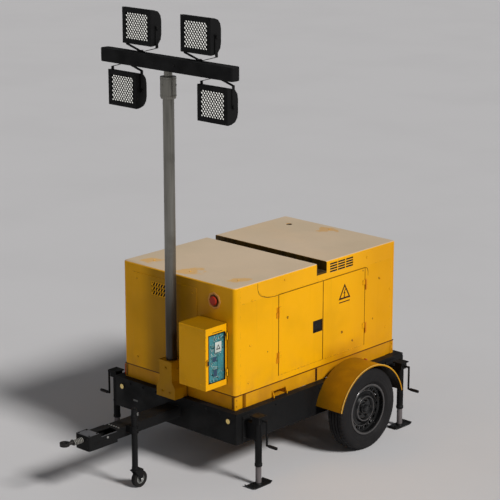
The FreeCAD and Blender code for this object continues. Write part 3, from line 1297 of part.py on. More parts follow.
def silencer():
    """A silencer box slung under the roof with its tail pipe in the roof opening."""
    z = "canopy_top - 175"
    barrel = rod("SilencerBarrel", "Y", "72", ("exhaust_x", z), ("exhaust_y - 480", "exhaust_y + 70"))
    tail = rod("SilencerTail", "Z", "tail_radius", ("exhaust_x", "exhaust_y"), (z, "canopy_top - 6"))
    bore = rod("SilencerTailBore", "Z", "tail_bore", ("exhaust_x", "exhaust_y"), (f"{z} + 30", "canopy_top"))
    inlet = rod("SilencerInlet", "X", "27", ("exhaust_y - 420", z), ("exhaust_x", "-250"))
    strap = [box(f"SilencerStrap{i}", ("exhaust_x - 4", "exhaust_x + 4"),
                 (f"exhaust_y - {at}", f"exhaust_y - {at} + 40"),
                 (f"{z} + 60", "canopy_top - sheet")) for i, at in enumerate((430, 120))]
    node("exhaust_silencer", cut("Silencer", fuse("SilencerSolid", barrel, tail, inlet, *strap), bore))


def tank_and_battery():
    tank = padded("TankBlock", "XY", rectangle(("-500", "180"), ("canopy_front + 30", "canopy_front + 430")),
                  ("skid_top - 6", "skid_top + 250"))
    rounded(tank, "30", is_along("Z"))
    hollow = box("TankHollow", ("-492", "172"), ("canopy_front + 38", "canopy_front + 422"),
                 ("skid_top + 2", "skid_top + 242"))
    mouth = rod("TankMouth", "Z", "34", ("-380", "canopy_front + 120"), ("skid_top + 230", "skid_top + 300"))
    neck = rod("TankNeck", "Z", "40", ("-380", "canopy_front + 120"), ("skid_top + 249", "skid_top + 290"))
    node("fuel_tank", cut("FuelTank", fuse("TankSolid", tank, neck), hollow, mouth))

    case = box("BatteryCase", ("230", "430"), ("canopy_front + 60", "canopy_front + 360"),
               ("skid_top - 6", "skid_top + 190"))
    posts = [rod(f"BatteryPost{i}", "Z", "9", (x, "canopy_front + 100"),
                 ("skid_top + 189", "skid_top + 208"))
             for i, x in enumerate(("265", "395"))]
    tray = box("BatteryTray", ("224", "436"), ("canopy_front + 54", "canopy_front + 366"),
               ("skid_top - 6", "skid_top + 20"))
    node("battery", fuse("Battery", case, tray, *posts))


# ---------------------------------------------------------------- small lamps on the chassis

def marker_lamps():
    lamps = []
    for name, side in SIDES.items():
        lamps.append(rod(f"FrontReflector_{name}", "Y", "19", (f"{side} * 570", "485"),
                         ("chassis_front - 6", "chassis_front")))
        lamps.append(side_box(f"RearLamp_{name}", side, ("430", "610"), ("chassis_rear", "chassis_rear + 6"),
                              ("400", "500")))
        lamps.append(rod(f"SideReflector_{name}", "X", "19", ("1290", "440"),
                         mirrored_span(side, "chassis_half", "chassis_half + 6")))
    node("marker_lamps", *lamps)


# ---------------------------------------------------------------- assembly and export

def build():
    chassis()
    base_skid()
    drawbar()
    towing_eye()
    hitch_bellows()
    jockey_wheel()
    axle()
    mudguards()
    for name, side in SIDES.items():
        tyre(name, side)
        wheel(name, side)
    jacks()
    canopy()
    access_cover()
    doors()
    control_box()
    emergency_stop()
    engine()
    alternator()
    cooling()
    silencer()
    tank_and_battery()
    marker_lamps()
    mast()
    for tag, x, up in lamp_stations():
        lamp_yoke(tag, x, up)
        lamp_head(tag, x, up)


def check():
    doc.recompute()
    problems = [f"{obj.Name}: {obj.State}" for obj in doc.Objects
                if "Invalid" in obj.State or "Error" in obj.State]
    for obj in NODES:
        if obj.Shape.isNull() or not obj.Shape.isValid() or not obj.Shape.Solids:
            problems.append(f"{obj.Label}: shape is empty or not valid")
    if problems:
        raise RuntimeError("; ".join(problems))


def export():
    os.makedirs("parts", exist_ok=True)
    for obj in NODES:
        obj.Shape.exportStep(f"parts/{obj.Label}.step")
    whole = FreeCAD.BoundBox()
    for obj in NODES:
        whole.add(obj.Shape.BoundBox)
    print(len(NODES), "sub-parts", whole)


build()
check()
export()
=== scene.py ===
"""Looks of the towable diesel generator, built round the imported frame. Metres, in the row frame."""
import json
import math
import random

import bmesh
import bpy
from mathutils import Matrix, Vector


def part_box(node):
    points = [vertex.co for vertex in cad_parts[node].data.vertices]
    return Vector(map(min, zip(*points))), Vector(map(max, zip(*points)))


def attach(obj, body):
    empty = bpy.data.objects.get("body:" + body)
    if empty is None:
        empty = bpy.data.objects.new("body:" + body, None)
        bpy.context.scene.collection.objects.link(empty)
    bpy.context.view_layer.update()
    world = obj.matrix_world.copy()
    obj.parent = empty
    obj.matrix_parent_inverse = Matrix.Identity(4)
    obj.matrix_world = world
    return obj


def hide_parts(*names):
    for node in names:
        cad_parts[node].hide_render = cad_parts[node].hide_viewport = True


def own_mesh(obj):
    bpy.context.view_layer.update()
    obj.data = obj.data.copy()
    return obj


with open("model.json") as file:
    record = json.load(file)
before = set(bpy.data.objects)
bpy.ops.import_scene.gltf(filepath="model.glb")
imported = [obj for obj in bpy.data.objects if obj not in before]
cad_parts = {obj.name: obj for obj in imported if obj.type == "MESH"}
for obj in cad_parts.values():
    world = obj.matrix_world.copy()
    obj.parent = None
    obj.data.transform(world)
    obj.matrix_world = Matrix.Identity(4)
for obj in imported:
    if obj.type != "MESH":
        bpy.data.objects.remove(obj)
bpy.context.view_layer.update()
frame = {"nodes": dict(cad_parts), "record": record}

NODES = frame["nodes"]
SIDES = {"left": -1, "right": 1}
X, Y, Z = Vector((1, 0, 0)), Vector((0, 1, 0)), Vector((0, 0, 1))

# Places read from the frame
SKID_LOW, SKID_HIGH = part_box("base_skid")
SIDE_X = SKID_HIGH.x
FRONT_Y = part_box("front_panel")[0].y
REAR_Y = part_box("rear_panel")[1].y
ROOF_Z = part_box("roof_front")[1].z
CHASSIS_LOW, CHASSIS_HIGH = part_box("chassis_frame")
COVER_LOW, COVER_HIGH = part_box("access_cover")
BELLOWS_LOW, BELLOWS_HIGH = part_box("hitch_bellows")
BELLOWS_Z = sum(corner.z for corner in (BELLOWS_LOW, BELLOWS_HIGH)) / 2

# Places that the CAD model's own dimensions give
HINGE_LEVELS = (0.814, 1.170)
GUARD_Y, GUARD_Z, GUARD_RADIUS = 0.850, 0.292, 0.384
DOOR_LINES = (0.112, 0.623, 1.129)
DOOR_BOTTOM, DOOR_TOP = 0.712, 1.350
JACK_LINES = {"front": -0.300, "rear": 1.385}
SHAFT_Z = 0.880
ROOF_FIXINGS = [(-0.404, -0.212), (0.020, -0.248), (0.446, -0.176), (-0.025, 1.413)]


# ---------------------------------------------------------------- mesh building

def turns(count, start=0.0):
    """Evenly spaced angles round a circle, the first at a share of one step."""
    return [2 * math.pi * (i + start) / count for i in range(count)]


def inside(centre, point, share):
    """A point moved part of the way towards a centre."""
    return point + (centre - point) * share


def on_side(side, out, y, z):
    """A place on a side wall of the canopy, standing out from it."""
    return side * (SIDE_X + out), y, z


def about_x(centre, turn, radius, x=0.0):
    """A place at a turn round a centre, in a plane across X."""
    return Vector((centre[0] + x, centre[1] + radius * math.cos(turn), centre[2] + radius * math.sin(turn)))


class Shape:
    """A mesh put together from worked pieces, in the row frame."""

    def __init__(self):
        self.mesh = bmesh.new()

    def take(self, part, bevel=0.0, edges=None):
        """Adds a part, with some or all of its edges rounded."""
        if bevel:
            chosen = part.edges[:] if edges is None else edges
            bmesh.ops.bevel(part, geom=chosen, offset=bevel, segments=2, affect="EDGES", profile=0.6)
        bmesh.ops.recalc_face_normals(part, faces=part.faces[:])
        passing = bpy.data.meshes.new("passing")
        part.to_mesh(passing)
        part.free()
        self.mesh.from_mesh(passing)
        bpy.data.meshes.remove(passing)
        return self

    def block(self, low, high, bevel=0.0, turn=None):
        """A box between two opposite corners, in any order."""
        low, high = Vector(map(min, low, high)), Vector(map(max, low, high))
        part = bmesh.new()
        bmesh.ops.create_cube(part, size=1.0)
        size = Matrix.Diagonal((*(high - low), 1))
        move = Matrix.Translation((low + high) / 2) @ (turn or Matrix())
        bmesh.ops.transform(part, matrix=move @ size, verts=part.verts)
        return self.take(part, bevel)

    def rod(self, start, end, radius, end_radius=None, sides=24, bevel=0.0):
        """A round bar, or a cone, between two places."""
        start, end = Vector(start), Vector(end)
        part = bmesh.new()
        end_radius = radius if end_radius is None else end_radius
        bmesh.ops.create_cone(part, cap_ends=True, segments=sides, radius1=radius, radius2=end_radius,
                              depth=(end - start).length)
        turn = (end - start).to_track_quat("Z", "Y").to_matrix().to_4x4()
        bmesh.ops.transform(part, matrix=Matrix.Translation((start + end) / 2) @ turn, verts=part.verts)
        along = (end - start).normalized()
        rims = [e for e in part.edges if abs((e.verts[1].co - e.verts[0].co).normalized().dot(along)) < 0.2]
        return self.take(part, bevel, rims)

    def skin(self, rings):
        """Joins closed rings of points, each to the next and the last to the first."""
        part = bmesh.new()
        rings = [[part.verts.new(place) for place in ring] for ring in rings]
        for a, b in zip(rings, rings[1:] + rings[:1]):
            for k in range(len(a)):
                after = (k + 1) % len(a)
                part.faces.new((a[k], a[after], b[after], b[k]))
        bmesh.ops.remove_doubles(part, verts=part.verts[:], dist=1e-6)
        return self.take(part)

    def lathe(self, centre, axis, profile, sides=48):
        """Turns (radius, height along axis) points into a closed ring about an axis."""
        centre, axis = Vector(centre), Vector(axis).normalized()
        across = axis.orthogonal().normalized()
        other = axis.cross(across)
        outs = [across * math.cos(turn) + other * math.sin(turn) for turn in turns(sides)]
        return self.skin([[centre + out * r + axis * h for r, h in profile] for out in outs])

    def prism(self, outline, push):
        """Pushes a flat outline of 3-D points along a vector."""
        part = bmesh.new()
        push = Vector(push)
        low = [part.verts.new(Vector(p)) for p in outline]
        high = [part.verts.new(Vector(p) + push) for p in outline]
        part.faces.new(low)
        part.faces.new(high[::-1])
        count = len(outline)
        for i in range(count):
            part.faces.new((low[i], low[(i + 1) % count], high[(i + 1) % count], high[i]))
        return self.take(part)

    def frame(self, low, high, normal_axis, border, bevel=0.0):
        """Four strips round a rectangle, inside the box between two opposite corners."""
        low, high = list(map(min, low, high)), list(map(max, low, high))
        u, v = [a for a in range(3) if a != normal_axis]
        for axis in (u, v):
            for end in (0, 1):
                a, b = list(low), list(high)
                if end:
                    a[axis] = high[axis] - border
                else:
                    b[axis] = low[axis] + border
                if axis == v:
                    a[u] += border
                    b[u] -= border
                self.block(a, b, bevel)
        return self

    def hose(self, points, radius, sides=12):
        """A smooth round tube through some points."""
        curve = bpy.data.curves.new("passing", "CURVE")
        curve.dimensions = "3D"
        curve.bevel_depth = radius
        curve.bevel_resolution = sides // 4
        curve.use_fill_caps = True
        spline = curve.splines.new("BEZIER")
        spline.bezier_points.add(len(points) - 1)
        for point, place in zip(spline.bezier_points, points):
            point.co = place
            point.handle_left_type = point.handle_right_type = "AUTO"
        carrier = bpy.data.objects.new("passing", curve)
        bpy.context.scene.collection.objects.link(carrier)
        bpy.context.view_layer.update()
        made = bpy.data.meshes.new_from_object(carrier)
        self.mesh.from_mesh(made)
        bpy.data.objects.remove(carrier)
        bpy.data.meshes.remove(made)
        bpy.data.curves.remove(curve)
        return self

    def bolt(self, place, axis, size, washer=True, domed=False):
        """A hexagon or domed bolt head on its washer, standing out along an axis."""
        place, axis = Vector(place), Vector(axis).normalized()
        height = size * 0.55
        if washer:
            self.rod(place, place + axis * size * 0.18, size * 1.35, sides=20, bevel=size * 0.08)
            place = place + axis * size * 0.18
        if domed:
            dome = [(0, 1), (0.5, 0.86), (0.85, 0.5), (1, 0), (0, 0)]
            return self.lathe(place, axis, [(size * r, height * h) for r, h in dome], 20)
        return self.rod(place, place + axis * height, size, size * 0.93, sides=6, bevel=size * 0.07)

    def triangle(self, corners, centre, share, push):
        """A printed triangle's outline: three strokes from its corners part of the way to its centre."""
        for a, b in zip(corners, corners[1:] + corners[:1]):
            self.prism([a, b, inside(centre, b, share), inside(centre, a, share)], push)
        return self


def plain_name(material):
    """A material's name, without the number that Blender adds where the frame has the same name."""
    return material.name.split(".")[0]


def piece(name, shape, material, body="trailer", sharp=35):
    """Makes the shape an object that rides on a body, with the given material in its slot."""
    mesh = bpy.data.meshes.new(name)
    shape.mesh.to_mesh(mesh)
    shape.mesh.free()
    mesh.polygons.foreach_set("use_smooth", [True] * len(mesh.polygons))
    mesh.set_sharp_from_angle(angle=math.radians(sharp))
    mesh.materials.append(material)
    obj = bpy.data.objects.new(name, mesh)
    bpy.context.scene.collection.objects.link(obj)
    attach(obj, body)
    return obj


# ---------------------------------------------------------------- materials

def srgb(red, green, blue):
    """A colour in 0..255 display values as linear light."""
    def linear(value):
        value /= 255
        return value / 12.92 if value <= 0.04045 else ((value + 0.055) / 1.055) ** 2.4
    return (linear(red), linear(green), linear(blue), 1.0)


def dim(colour, share):
    """A colour with its light cut to a share."""
    return tuple(part * share for part in colour[:3]) + (1,)


class Finish:
    """A node material under construction; places are in the object's own coordinates."""

    def __init__(self, name, colour, roughness, metallic=0.0, shine=0.4):
        self.material = bpy.data.materials.new(name)
        self.material.use_nodes = True
        self.tree = self.material.node_tree
        self.shader = self.tree.nodes["Principled BSDF"]
        self.shader.inputs["Roughness"].default_value = roughness
        self.shader.inputs["Metallic"].default_value = metallic
        self.shader.inputs["Specular IOR Level"].default_value = shine
        self.place = self.node("ShaderNodeTexCoord").outputs["Object"]
        rgb = self.node("ShaderNodeRGB")
        rgb.outputs[0].default_value = colour
        self.colour = rgb.outputs[0]

    def wire(self, source, target):
        """Feeds a socket from another one, or sets it to a plain value."""
        if isinstance(source, bpy.types.NodeSocket):
            self.tree.links.new(source, target)
        else:
            target.default_value = source

    def node(self, kind, inputs=None, **settings):
        """Adds a node, with settings and with values or wires for its inputs."""
        made = self.tree.nodes.new(kind)
        for key, value in settings.items():
            setattr(made, key, value)
        for socket, source in (inputs or {}).items():
            self.wire(source, made.inputs[socket])
        return made

    def noise(self, scale, detail, stretch=(1, 1, 1), kind="ShaderNodeTexNoise"):
        place = self.node("ShaderNodeMapping", {"Scale": stretch, "Vector": self.place}).outputs[0]
        made = self.node(kind, {"Scale": scale, "Detail": detail, "Vector": place})
        return made.outputs["Fac"] if "Fac" in made.outputs else made.outputs["Distance"]

    def cells(self, scale, detail):
        return self.noise(scale, detail, kind="ShaderNodeTexVoronoi")

    def ramp(self, value, low, high, to_low=0.0, to_high=1.0):
        """Maps a value between two levels to another range, clamped."""
        inputs = {"Value": value, "From Min": low, "From Max": high, "To Min": to_low, "To Max": to_high}
        return self.node("ShaderNodeMapRange", inputs, interpolation_type="SMOOTHSTEP").outputs["Result"]

    def math(self, operation, first, second=0.0):
        return self.node("ShaderNodeMath", {0: first, 1: second}, operation=operation).outputs[0]

    def times(self, first, *others):
        for other in others:
            first = self.math("MULTIPLY", first, other)
        return first

    def vector(self, operation, *inputs):
        return self.node("ShaderNodeVectorMath", dict(enumerate(inputs)), operation=operation)

    def axis(self, letter, source=None):
        return self.node("ShaderNodeSeparateXYZ", {0: source or self.place}).outputs[letter]

    def normal(self):
        return self.node("ShaderNodeNewGeometry").outputs["Normal"]

    def facing_up(self):
        return self.axis("Z", self.normal())

    def distance(self, place, weights=(1, 1, 1)):
        """How far a point is from a place; an axis weighed 0 doesn't count."""
        near = tuple(a * b for a, b in zip(place, weights))
        flat = self.vector("MULTIPLY", self.place, weights).outputs[0]
        return self.vector("DISTANCE", flat, near).outputs["Value"]

    def mix(self, factor, first, second):
        inputs = {"Factor": factor, 6: first, 7: second}
        return self.node("ShaderNodeMix", inputs, data_type="RGBA").outputs[2]

    def blend(self, factor, colour):
        """Mixes another colour over the present one."""
        self.colour = self.mix(factor, self.colour, colour)

    def cloud(self, scale, detail, low, high, amount, colour, stretch=(1, 1, 1)):
        """Blends a colour in where a noise is high, up to an amount."""
        self.blend(self.ramp(self.noise(scale, detail, stretch), low, high, 0, amount), colour)

    def edges(self, radius):
        """A mask that is high along convex and concave edges."""
        rounded = self.node("ShaderNodeBevel", {"Radius": radius}, samples=4).outputs[0]
        return self.math("SUBTRACT", 1.0, self.vector("DOT_PRODUCT", rounded, self.normal()).outputs["Value"])

    def crevices(self, reach):
        """A mask that is high in corners and narrow gaps."""
        shade = self.node("ShaderNodeAmbientOcclusion", {"Distance": reach}, samples=6)
        return self.math("SUBTRACT", 1.0, shade.outputs["AO"])

    def between(self, letter, low, high, soft):
        """A mask for the places between two levels along an axis."""
        place = self.axis(letter)
        return self.times(self.ramp(place, low - soft, low), self.ramp(place, high + soft, high))

    def band(self, first, second, strength, colour):
        """Blends a colour in where two (axis, low, high, softness) ranges cross."""
        self.blend(self.times(self.between(*first), self.between(*second), strength), colour)

    def spot(self, place, radius, ragged=0.5, scale=70, weights=(1, 1, 1)):
        """A mask for a ragged patch round a place."""
        swing = self.ramp(self.noise(scale, 5), 0.3, 0.7, -radius * ragged, radius * ragged)
        return self.ramp(self.math("ADD", self.distance(place, weights), swing), radius * 1.15, radius * 0.75)

    def bump(self, height, strength, distance=0.001):
        node = self.node("ShaderNodeBump", {"Strength": strength, "Distance": distance, "Height": height})
        normal = self.shader.inputs["Normal"]
        if normal.links:
            self.wire(normal.links[0].from_socket, node.inputs["Normal"])
        self.wire(node.outputs[0], normal)

    def rough(self, value, low, high):
        self.wire(self.ramp(value, 0.25, 0.75, low, high), self.shader.inputs["Roughness"])

    def glow(self, colour, strength):
        self.shader.inputs["Emission Color"].default_value = colour
        self.shader.inputs["Emission Strength"].default_value = strength

    def done(self):
        self.wire(self.colour, self.shader.inputs["Base Color"])
        return self.material


YELLOW = srgb(243, 174, 4)
YELLOW_DUST = srgb(196, 132, 50)
CHIP = srgb(70, 60, 50)
GRIME_AND_SHADE = srgb(62, 34, 6)
SCAR = srgb(104, 58, 14)
SEAM_DIRT_AND_SHADE = srgb(112, 62, 8)
SOOT = srgb(60, 50, 40)


def grime_and_shade(coat):
    """Dirt and painted shade in corners and gaps."""
    # Painted shade: colour darkened where ambient occlusion finds corners and gaps, together with dirt there.
    coat.blend(coat.ramp(coat.crevices(0.014), 0.32, 0.66, 0, 0.9), GRIME_AND_SHADE)


def paint_groove_shade(coat):
    """Painted shade: the channel across the roof is darkened with a mottled dark colour."""
    channel = coat.times(coat.between("Y", 0.5455, 0.6605, 0.002),
                         coat.between("Z", 1.405, ROOF_Z - 0.004, 0.002))
    mottled = coat.ramp(coat.noise(18, 5, (1, 1, 0.3)), 0.3, 0.7, 0.88, 0.98)
    # Painted shade inside the roof channel.
    coat.blend(coat.times(channel, mottled), srgb(46, 36, 8))


def soil_and_shade_doors(coat):
    """Brown dirt with painted shade along the doors' gaps and the seam over the skid, brown dirt round the
    hinges and over the wheel, and a painted shadow at the skid's corner.
    """
    broken = coat.ramp(coat.noise(11, 6), 0.2, 0.5, 0.55, 1.0)
    tall = ("Z", DOOR_BOTTOM, DOOR_TOP, 0.002)
    wide = ("Y", DOOR_LINES[0], DOOR_LINES[-1], 0.002)
    gap = 0.0025
    # Painted shade with dirt: dark bands along the doors' gaps.
    for y, strength in zip(DOOR_LINES, (1.0, 1.0, 0.45)):
        coat.band(("Y", y - gap, y + gap, 0.0035), tall, coat.times(broken, strength), SEAM_DIRT_AND_SHADE)
    coat.band(("Z", DOOR_TOP - gap, DOOR_TOP + gap, 0.0035), wide, coat.times(broken, 0.7), SEAM_DIRT_AND_SHADE)
    canopy = ("Y", FRONT_Y - 0.002, 2, 0.001)
    skid = coat.ramp(coat.noise(4, 6), 0.3, 0.6, 0.25, 0.5)
    # Painted shade with dirt along the seam between canopy and skid.
    coat.band(("Z", 0.6595, 0.6672, 0.0025), canopy, broken, SEAM_DIRT_AND_SHADE)
    coat.band(("Z", 0.5, 0.6600, 0.002), canopy, skid, srgb(160, 104, 18))
    # Painted shadow: a soft dark band beside the skid's front corner post.
    coat.band(("Y", -0.277, -0.252, 0.010), ("Z", 0.550, 0.6600, 0.002), 0.8, srgb(120, 68, 2))
    for y in (DOOR_LINES[0] - 0.012, DOOR_LINES[-1] + 0.012):
        for z in HINGE_LEVELS:
            leaf = ("Z", z - 0.002, z + 0.082, 0.003)
            coat.band(("Y", y - 0.014, y + 0.014, 0.003), leaf, 0.6, srgb(212, 122, 20))
    haze = coat.ramp(coat.noise(5, 6), 0.2, 0.7, 0.35, 0.7)
    coat.band(("Y", 0.74, 0.96, 0.20), ("Z", 0.60, 0.68, 0.16), haze, srgb(178, 112, 8))


def shade_front(coat):
    """Painted shade on the front wall, darkest round the mast, with the mast's painted shadow to its right
    and painted shade round its bracket.
    """
    front = ("Y", FRONT_Y - 0.013, FRONT_Y + 0.0012, 0.001)
    wander = coat.ramp(coat.noise(2.6, 5), 0.3, 0.7, 0.8, 1.0)
    # Painted shade over the middle of the front wall.
    coat.band(front, ("X", -0.22, 0.08, 0.20), coat.times(wander, 0.60), srgb(80, 58, 0))
    # Painted shadow of the mast, to its right.
    coat.band(front, ("X", 0.14, 0.30, 0.12), coat.times(wander, 0.42), srgb(96, 62, 8))
    # Painted shade low on the front, over the skid.
    coat.band(front, ("Z", 0.5, 0.66, 0.002), 0.35, srgb(84, 60, 0))
    # Painted shade round the mast's bracket.
    coat.band(("Y", -0.52, FRONT_Y - 0.0150, 0.001), ("X", -0.10, 0.10, 0.01), 0.5, srgb(92, 68, 0))


def fade_rear(coat):
    """Paint on the sides turns browner towards the rear."""
    coat.blend(coat.ramp(coat.axis("Y"), 0.70, 1.45, 0, 0.6), srgb(206, 140, 6))


def worn_paint(name, dusty=True, scars=(), top_shade=None):
    """Sprayed yellow steel: uneven colour, run marks, chipped edges, settled dust, and dirt with painted
    shade in the corners; top_shade paints shade on faces that look up, and scars brings the painted shade and
    dirt of the doors and front.
    """
    roughness = 0.42
    coat = Finish(name, YELLOW, roughness, shine=0.12)
    coat.cloud(1.7, 5, 0.42, 0.72, 0.75, dim(YELLOW, 0.8))
    coat.cloud(26, 3, 0.56, 0.8, 0.35, dim(YELLOW, 0.8), (1, 1, 0.05))
    if dusty:
        low_down = coat.ramp(coat.axis("Z"), 0.95, 0.5)
        coat.blend(coat.times(low_down, coat.ramp(coat.noise(9, 8), 0.35, 0.75), 0.5), YELLOW_DUST)
    edge = coat.ramp(coat.edges(0.004), 0.04, 0.22)
    coat.blend(coat.times(edge, coat.ramp(coat.noise(60, 6), 0.52, 0.62)), CHIP)
    specks = coat.ramp(coat.cells(34, 2), 0.035, 0.02)
    coat.blend(coat.times(specks, coat.ramp(coat.noise(5, 2), 0.6, 0.64)), CHIP)
    if top_shade:
        # Painted shade: faces that look up are darkened.
        coat.blend(coat.ramp(coat.facing_up(), 0.5, 0.9, 0, 0.95), top_shade)
    if scars:
        fade_rear(coat)
        soil_and_shade_doors(coat)
        shade_front(coat)
    for y, z, radius in scars:
        coat.blend(coat.times(coat.spot((0, y, z), radius, weights=(0, 1, 1)), 0.85), SCAR)
    grime_and_shade(coat)
    paint_groove_shade(coat)
    coat.rough(coat.noise(7, 6), roughness * 0.8, roughness * 1.35)
    coat.bump(coat.noise(420, 2), 0.10, 0.0006)
    coat.bump(coat.noise(3.0, 2), 0.12, 0.004)
    return coat.done()


def guard_finish():
    """The mudguards' duller paint: darker towards the lower front, with painted shade inboard and underneath.
    """
    coat = Finish("guard_paint", srgb(198, 140, 12), 0.45, shine=0.15)
    coat.cloud(2.5, 6, 0.4, 0.7, 0.6, srgb(170, 114, 12))
    # Darker towards the lower front.
    front = coat.ramp(coat.axis("Y"), 1.02, 0.72)
    coat.blend(coat.times(front, coat.ramp(coat.noise(7, 7), 0.25, 0.6, 0.6, 0.9)), srgb(140, 96, 8))
    # Painted shade on the inboard side, near the canopy wall.
    inboard = coat.ramp(coat.math("ABSOLUTE", coat.axis("X")), 0.68, 0.88, 0.6, 0)
    coat.blend(inboard, srgb(104, 72, 6))
    # Painted shade on the faces that look in towards the wheel, under the guard.
    outward = coat.vector("MULTIPLY_ADD", coat.place, (0, 1, 1), (0, -GUARD_Y, -GUARD_Z)).outputs[0]
    facing_out = coat.vector("DOT_PRODUCT", outward, coat.normal()).outputs["Value"]
    coat.blend(coat.ramp(facing_out, -0.15, -0.30), srgb(34, 24, 12))
    grime_and_shade(coat)
    coat.rough(coat.noise(7, 6), 0.38, 0.6)
    coat.bump(coat.noise(420, 2), 0.10, 0.0006)
    return coat.done()


def roof_finish():
    """Yellow paint under a pale coat on the faces that look up, partly dust and partly a painted reflection
    of the sky, rubbed clean round the fixings.
    """
    coat = Finish("roof_paint", YELLOW, 0.5, shine=0.2)
    coat.cloud(1.7, 5, 0.42, 0.72, 0.6, dim(YELLOW, 0.85))
    fade_rear(coat)
    # Partly dust, partly painted reflection: a pale colour on faces that look up.
    dust_and_sheen = coat.ramp(coat.facing_up(), 0.55, 0.95)
    dust_and_sheen = coat.times(dust_and_sheen, coat.ramp(coat.noise(2.2, 7), 0.25, 0.55, 0.93, 1.0))
    for x, y in ROOF_FIXINGS:
        bare = coat.spot((x, y, ROOF_Z), 0.085, 0.6, 9)
        dust_and_sheen = coat.times(dust_and_sheen, coat.math("SUBTRACT", 1.0, coat.times(bare, 0.48)))
    drift = coat.ramp(coat.noise(1.1, 4), 0.35, 0.65)
    coat.blend(dust_and_sheen, coat.mix(drift, srgb(221, 198, 170), srgb(211, 190, 161)))
    edge = coat.ramp(coat.edges(0.004), 0.05, 0.25)
    coat.blend(coat.times(edge, coat.ramp(coat.noise(60, 6), 0.54, 0.64)), srgb(90, 70, 45))
    grime_and_shade(coat)
    paint_groove_shade(coat)
    coat.rough(coat.noise(6, 6), 0.42, 0.6)
    coat.bump(coat.noise(420, 2), 0.1, 0.0006)
    return coat.done()


def black_finish(name, roughness=0.55, amount=0.06, shine=0.16):
    """Black steel paint with dust lying on what looks up."""
    dust = srgb(84, 82, 84)
    coat = Finish(name, (0.006, 0.006, 0.0063, 1), roughness, shine=shine)
    lying = coat.ramp(coat.facing_up(), 0.3, 0.95)
    coat.blend(coat.times(lying, coat.ramp(coat.noise(6, 8), 0.35, 0.75, 0.15, 1.0), amount), dust)
    coat.cloud(2.5, 6, 0.45, 0.8, amount * 0.35, dust)
    edge = coat.ramp(coat.edges(0.003), 0.04, 0.3)
    coat.blend(coat.times(edge, coat.ramp(coat.noise(55, 6), 0.45, 0.6, 0, 0.4)), srgb(84, 82, 80))
    coat.rough(coat.noise(8, 6), roughness * 0.8, roughness * 1.4)
    coat.bump(coat.noise(300, 2), 0.15, 0.0006)
    return coat.done()


def steel_finish(name, colour, roughness, stretch=(1, 1, 0.04), stain=SOOT):
    """Bare or zinc-coated steel, drawn along one axis."""
    coat = Finish(name, colour, roughness, 0.85)
    drawn = coat.noise(90, 4, stretch)
    coat.blend(coat.ramp(drawn, 0.4, 0.75, 0, 0.4), dim(colour, 0.6))
    coat.cloud(4, 8, 0.55, 0.8, 0.6, stain)
    coat.rough(drawn, roughness * 0.8, roughness * 1.3)
    coat.bump(drawn, 0.12, 0.0006)
    return coat.done()


def mast_finish():
    """Zinc-coated tube with sooty patches and a painted shadow that darkens it towards its foot."""
    coat = Finish("mast_steel", srgb(136, 134, 127), 0.36, 0.85)
    drawn = coat.noise(90, 4, (1, 1, 0.04))
    coat.blend(coat.ramp(drawn, 0.4, 0.75, 0, 0.4), srgb(106, 104, 98))
    coat.cloud(4, 8, 0.55, 0.8, 0.6, SOOT)
    # Painted shadow: darker towards the foot.
    coat.blend(coat.ramp(coat.axis("Z"), 1.80, 1.10, 0, 0.85), srgb(38, 32, 29))
    coat.rough(drawn, 0.28, 0.46)
    coat.bump(drawn, 0.12, 0.0006)
    return coat.done()


def rubber_finish(name, colour, dust=srgb(92, 84, 76), amount=0.12):
    """Dull black rubber with dust in patches."""
    coat = Finish(name, colour, 0.72, shine=0.15)
    coat.cloud(5, 8, 0.42, 0.75, amount, dust)
    coat.cloud(45, 4, 0.55, 0.8, amount * 0.4, dust)
    coat.rough(coat.noise(12, 5), 0.62, 0.85)
    coat.bump(coat.noise(260, 3), 0.3, 0.0008)
    return coat.done()


def bellows_finish():
    """Grey rubber folds, with painted shade in the valleys between them."""
    coat = Finish("bellows_rubber", srgb(168, 166, 160), 0.6, shine=0.2)
    # Painted shade: dark where the surface lies near the axis, in the valleys.
    coat.blend(coat.ramp(coat.distance((0, 0, BELLOWS_Z), (1, 0, 1)), 0.0206, 0.0190), srgb(20, 19, 19))
    coat.cloud(30, 5, 0.45, 0.75, 0.5, srgb(96, 92, 86))
    coat.bump(coat.noise(260, 3), 0.25, 0.0008)
    return coat.done()


def plastic_finish(name, colour, roughness=0.4, shade=0.75, glow=0.0):
    """Moulded plastic with a fine grain and slight colour drift."""
    coat = Finish(name, colour, roughness, shine=0.25)
    coat.cloud(14, 5, 0.42, 0.75, 0.6, dim(colour, shade))
    coat.rough(coat.noise(30, 4), roughness * 0.85, roughness * 1.3)
    coat.bump(coat.noise(350, 2), 0.12, 0.0005)
    if glow:
        coat.glow(colour, glow)
    return coat.done()


def jack_leg_finish():
    """Grey inner tube with scored sides over a black foot, with painted shade in its crevices."""
    coat = Finish("jack_leg", srgb(104, 98, 99), 0.42)
    coat.cloud(70, 4, 0.4, 0.75, 0.5, srgb(78, 73, 74), (1, 1, 0.05))
    coat.cloud(6, 8, 0.55, 0.8, 0.5, srgb(66, 58, 54))
    coat.blend(coat.ramp(coat.axis("Z"), 0.026, 0.018), (0.009, 0.009, 0.0095, 1))
    # Painted shade in the crevices.
    coat.blend(coat.ramp(coat.crevices(0.010), 0.3, 0.6, 0, 0.8), srgb(30, 26, 24))
    coat.rough(coat.noise(30, 5), 0.36, 0.56)
    coat.bump(coat.noise(200, 2), 0.12, 0.0006)
    return coat.done()


def cast_finish(name, colour, roughness=0.6):
    """Rough cast metal with oily dark patches."""
    coat = Finish(name, colour, roughness, 0.5)
    coat.cloud(8, 8, 0.45, 0.75, 0.8, srgb(38, 34, 30))
    coat.rough(coat.noise(14, 5), 0.45, 0.75)
    coat.bump(coat.noise(160, 6), 0.4, 0.0012)
    return coat.done()


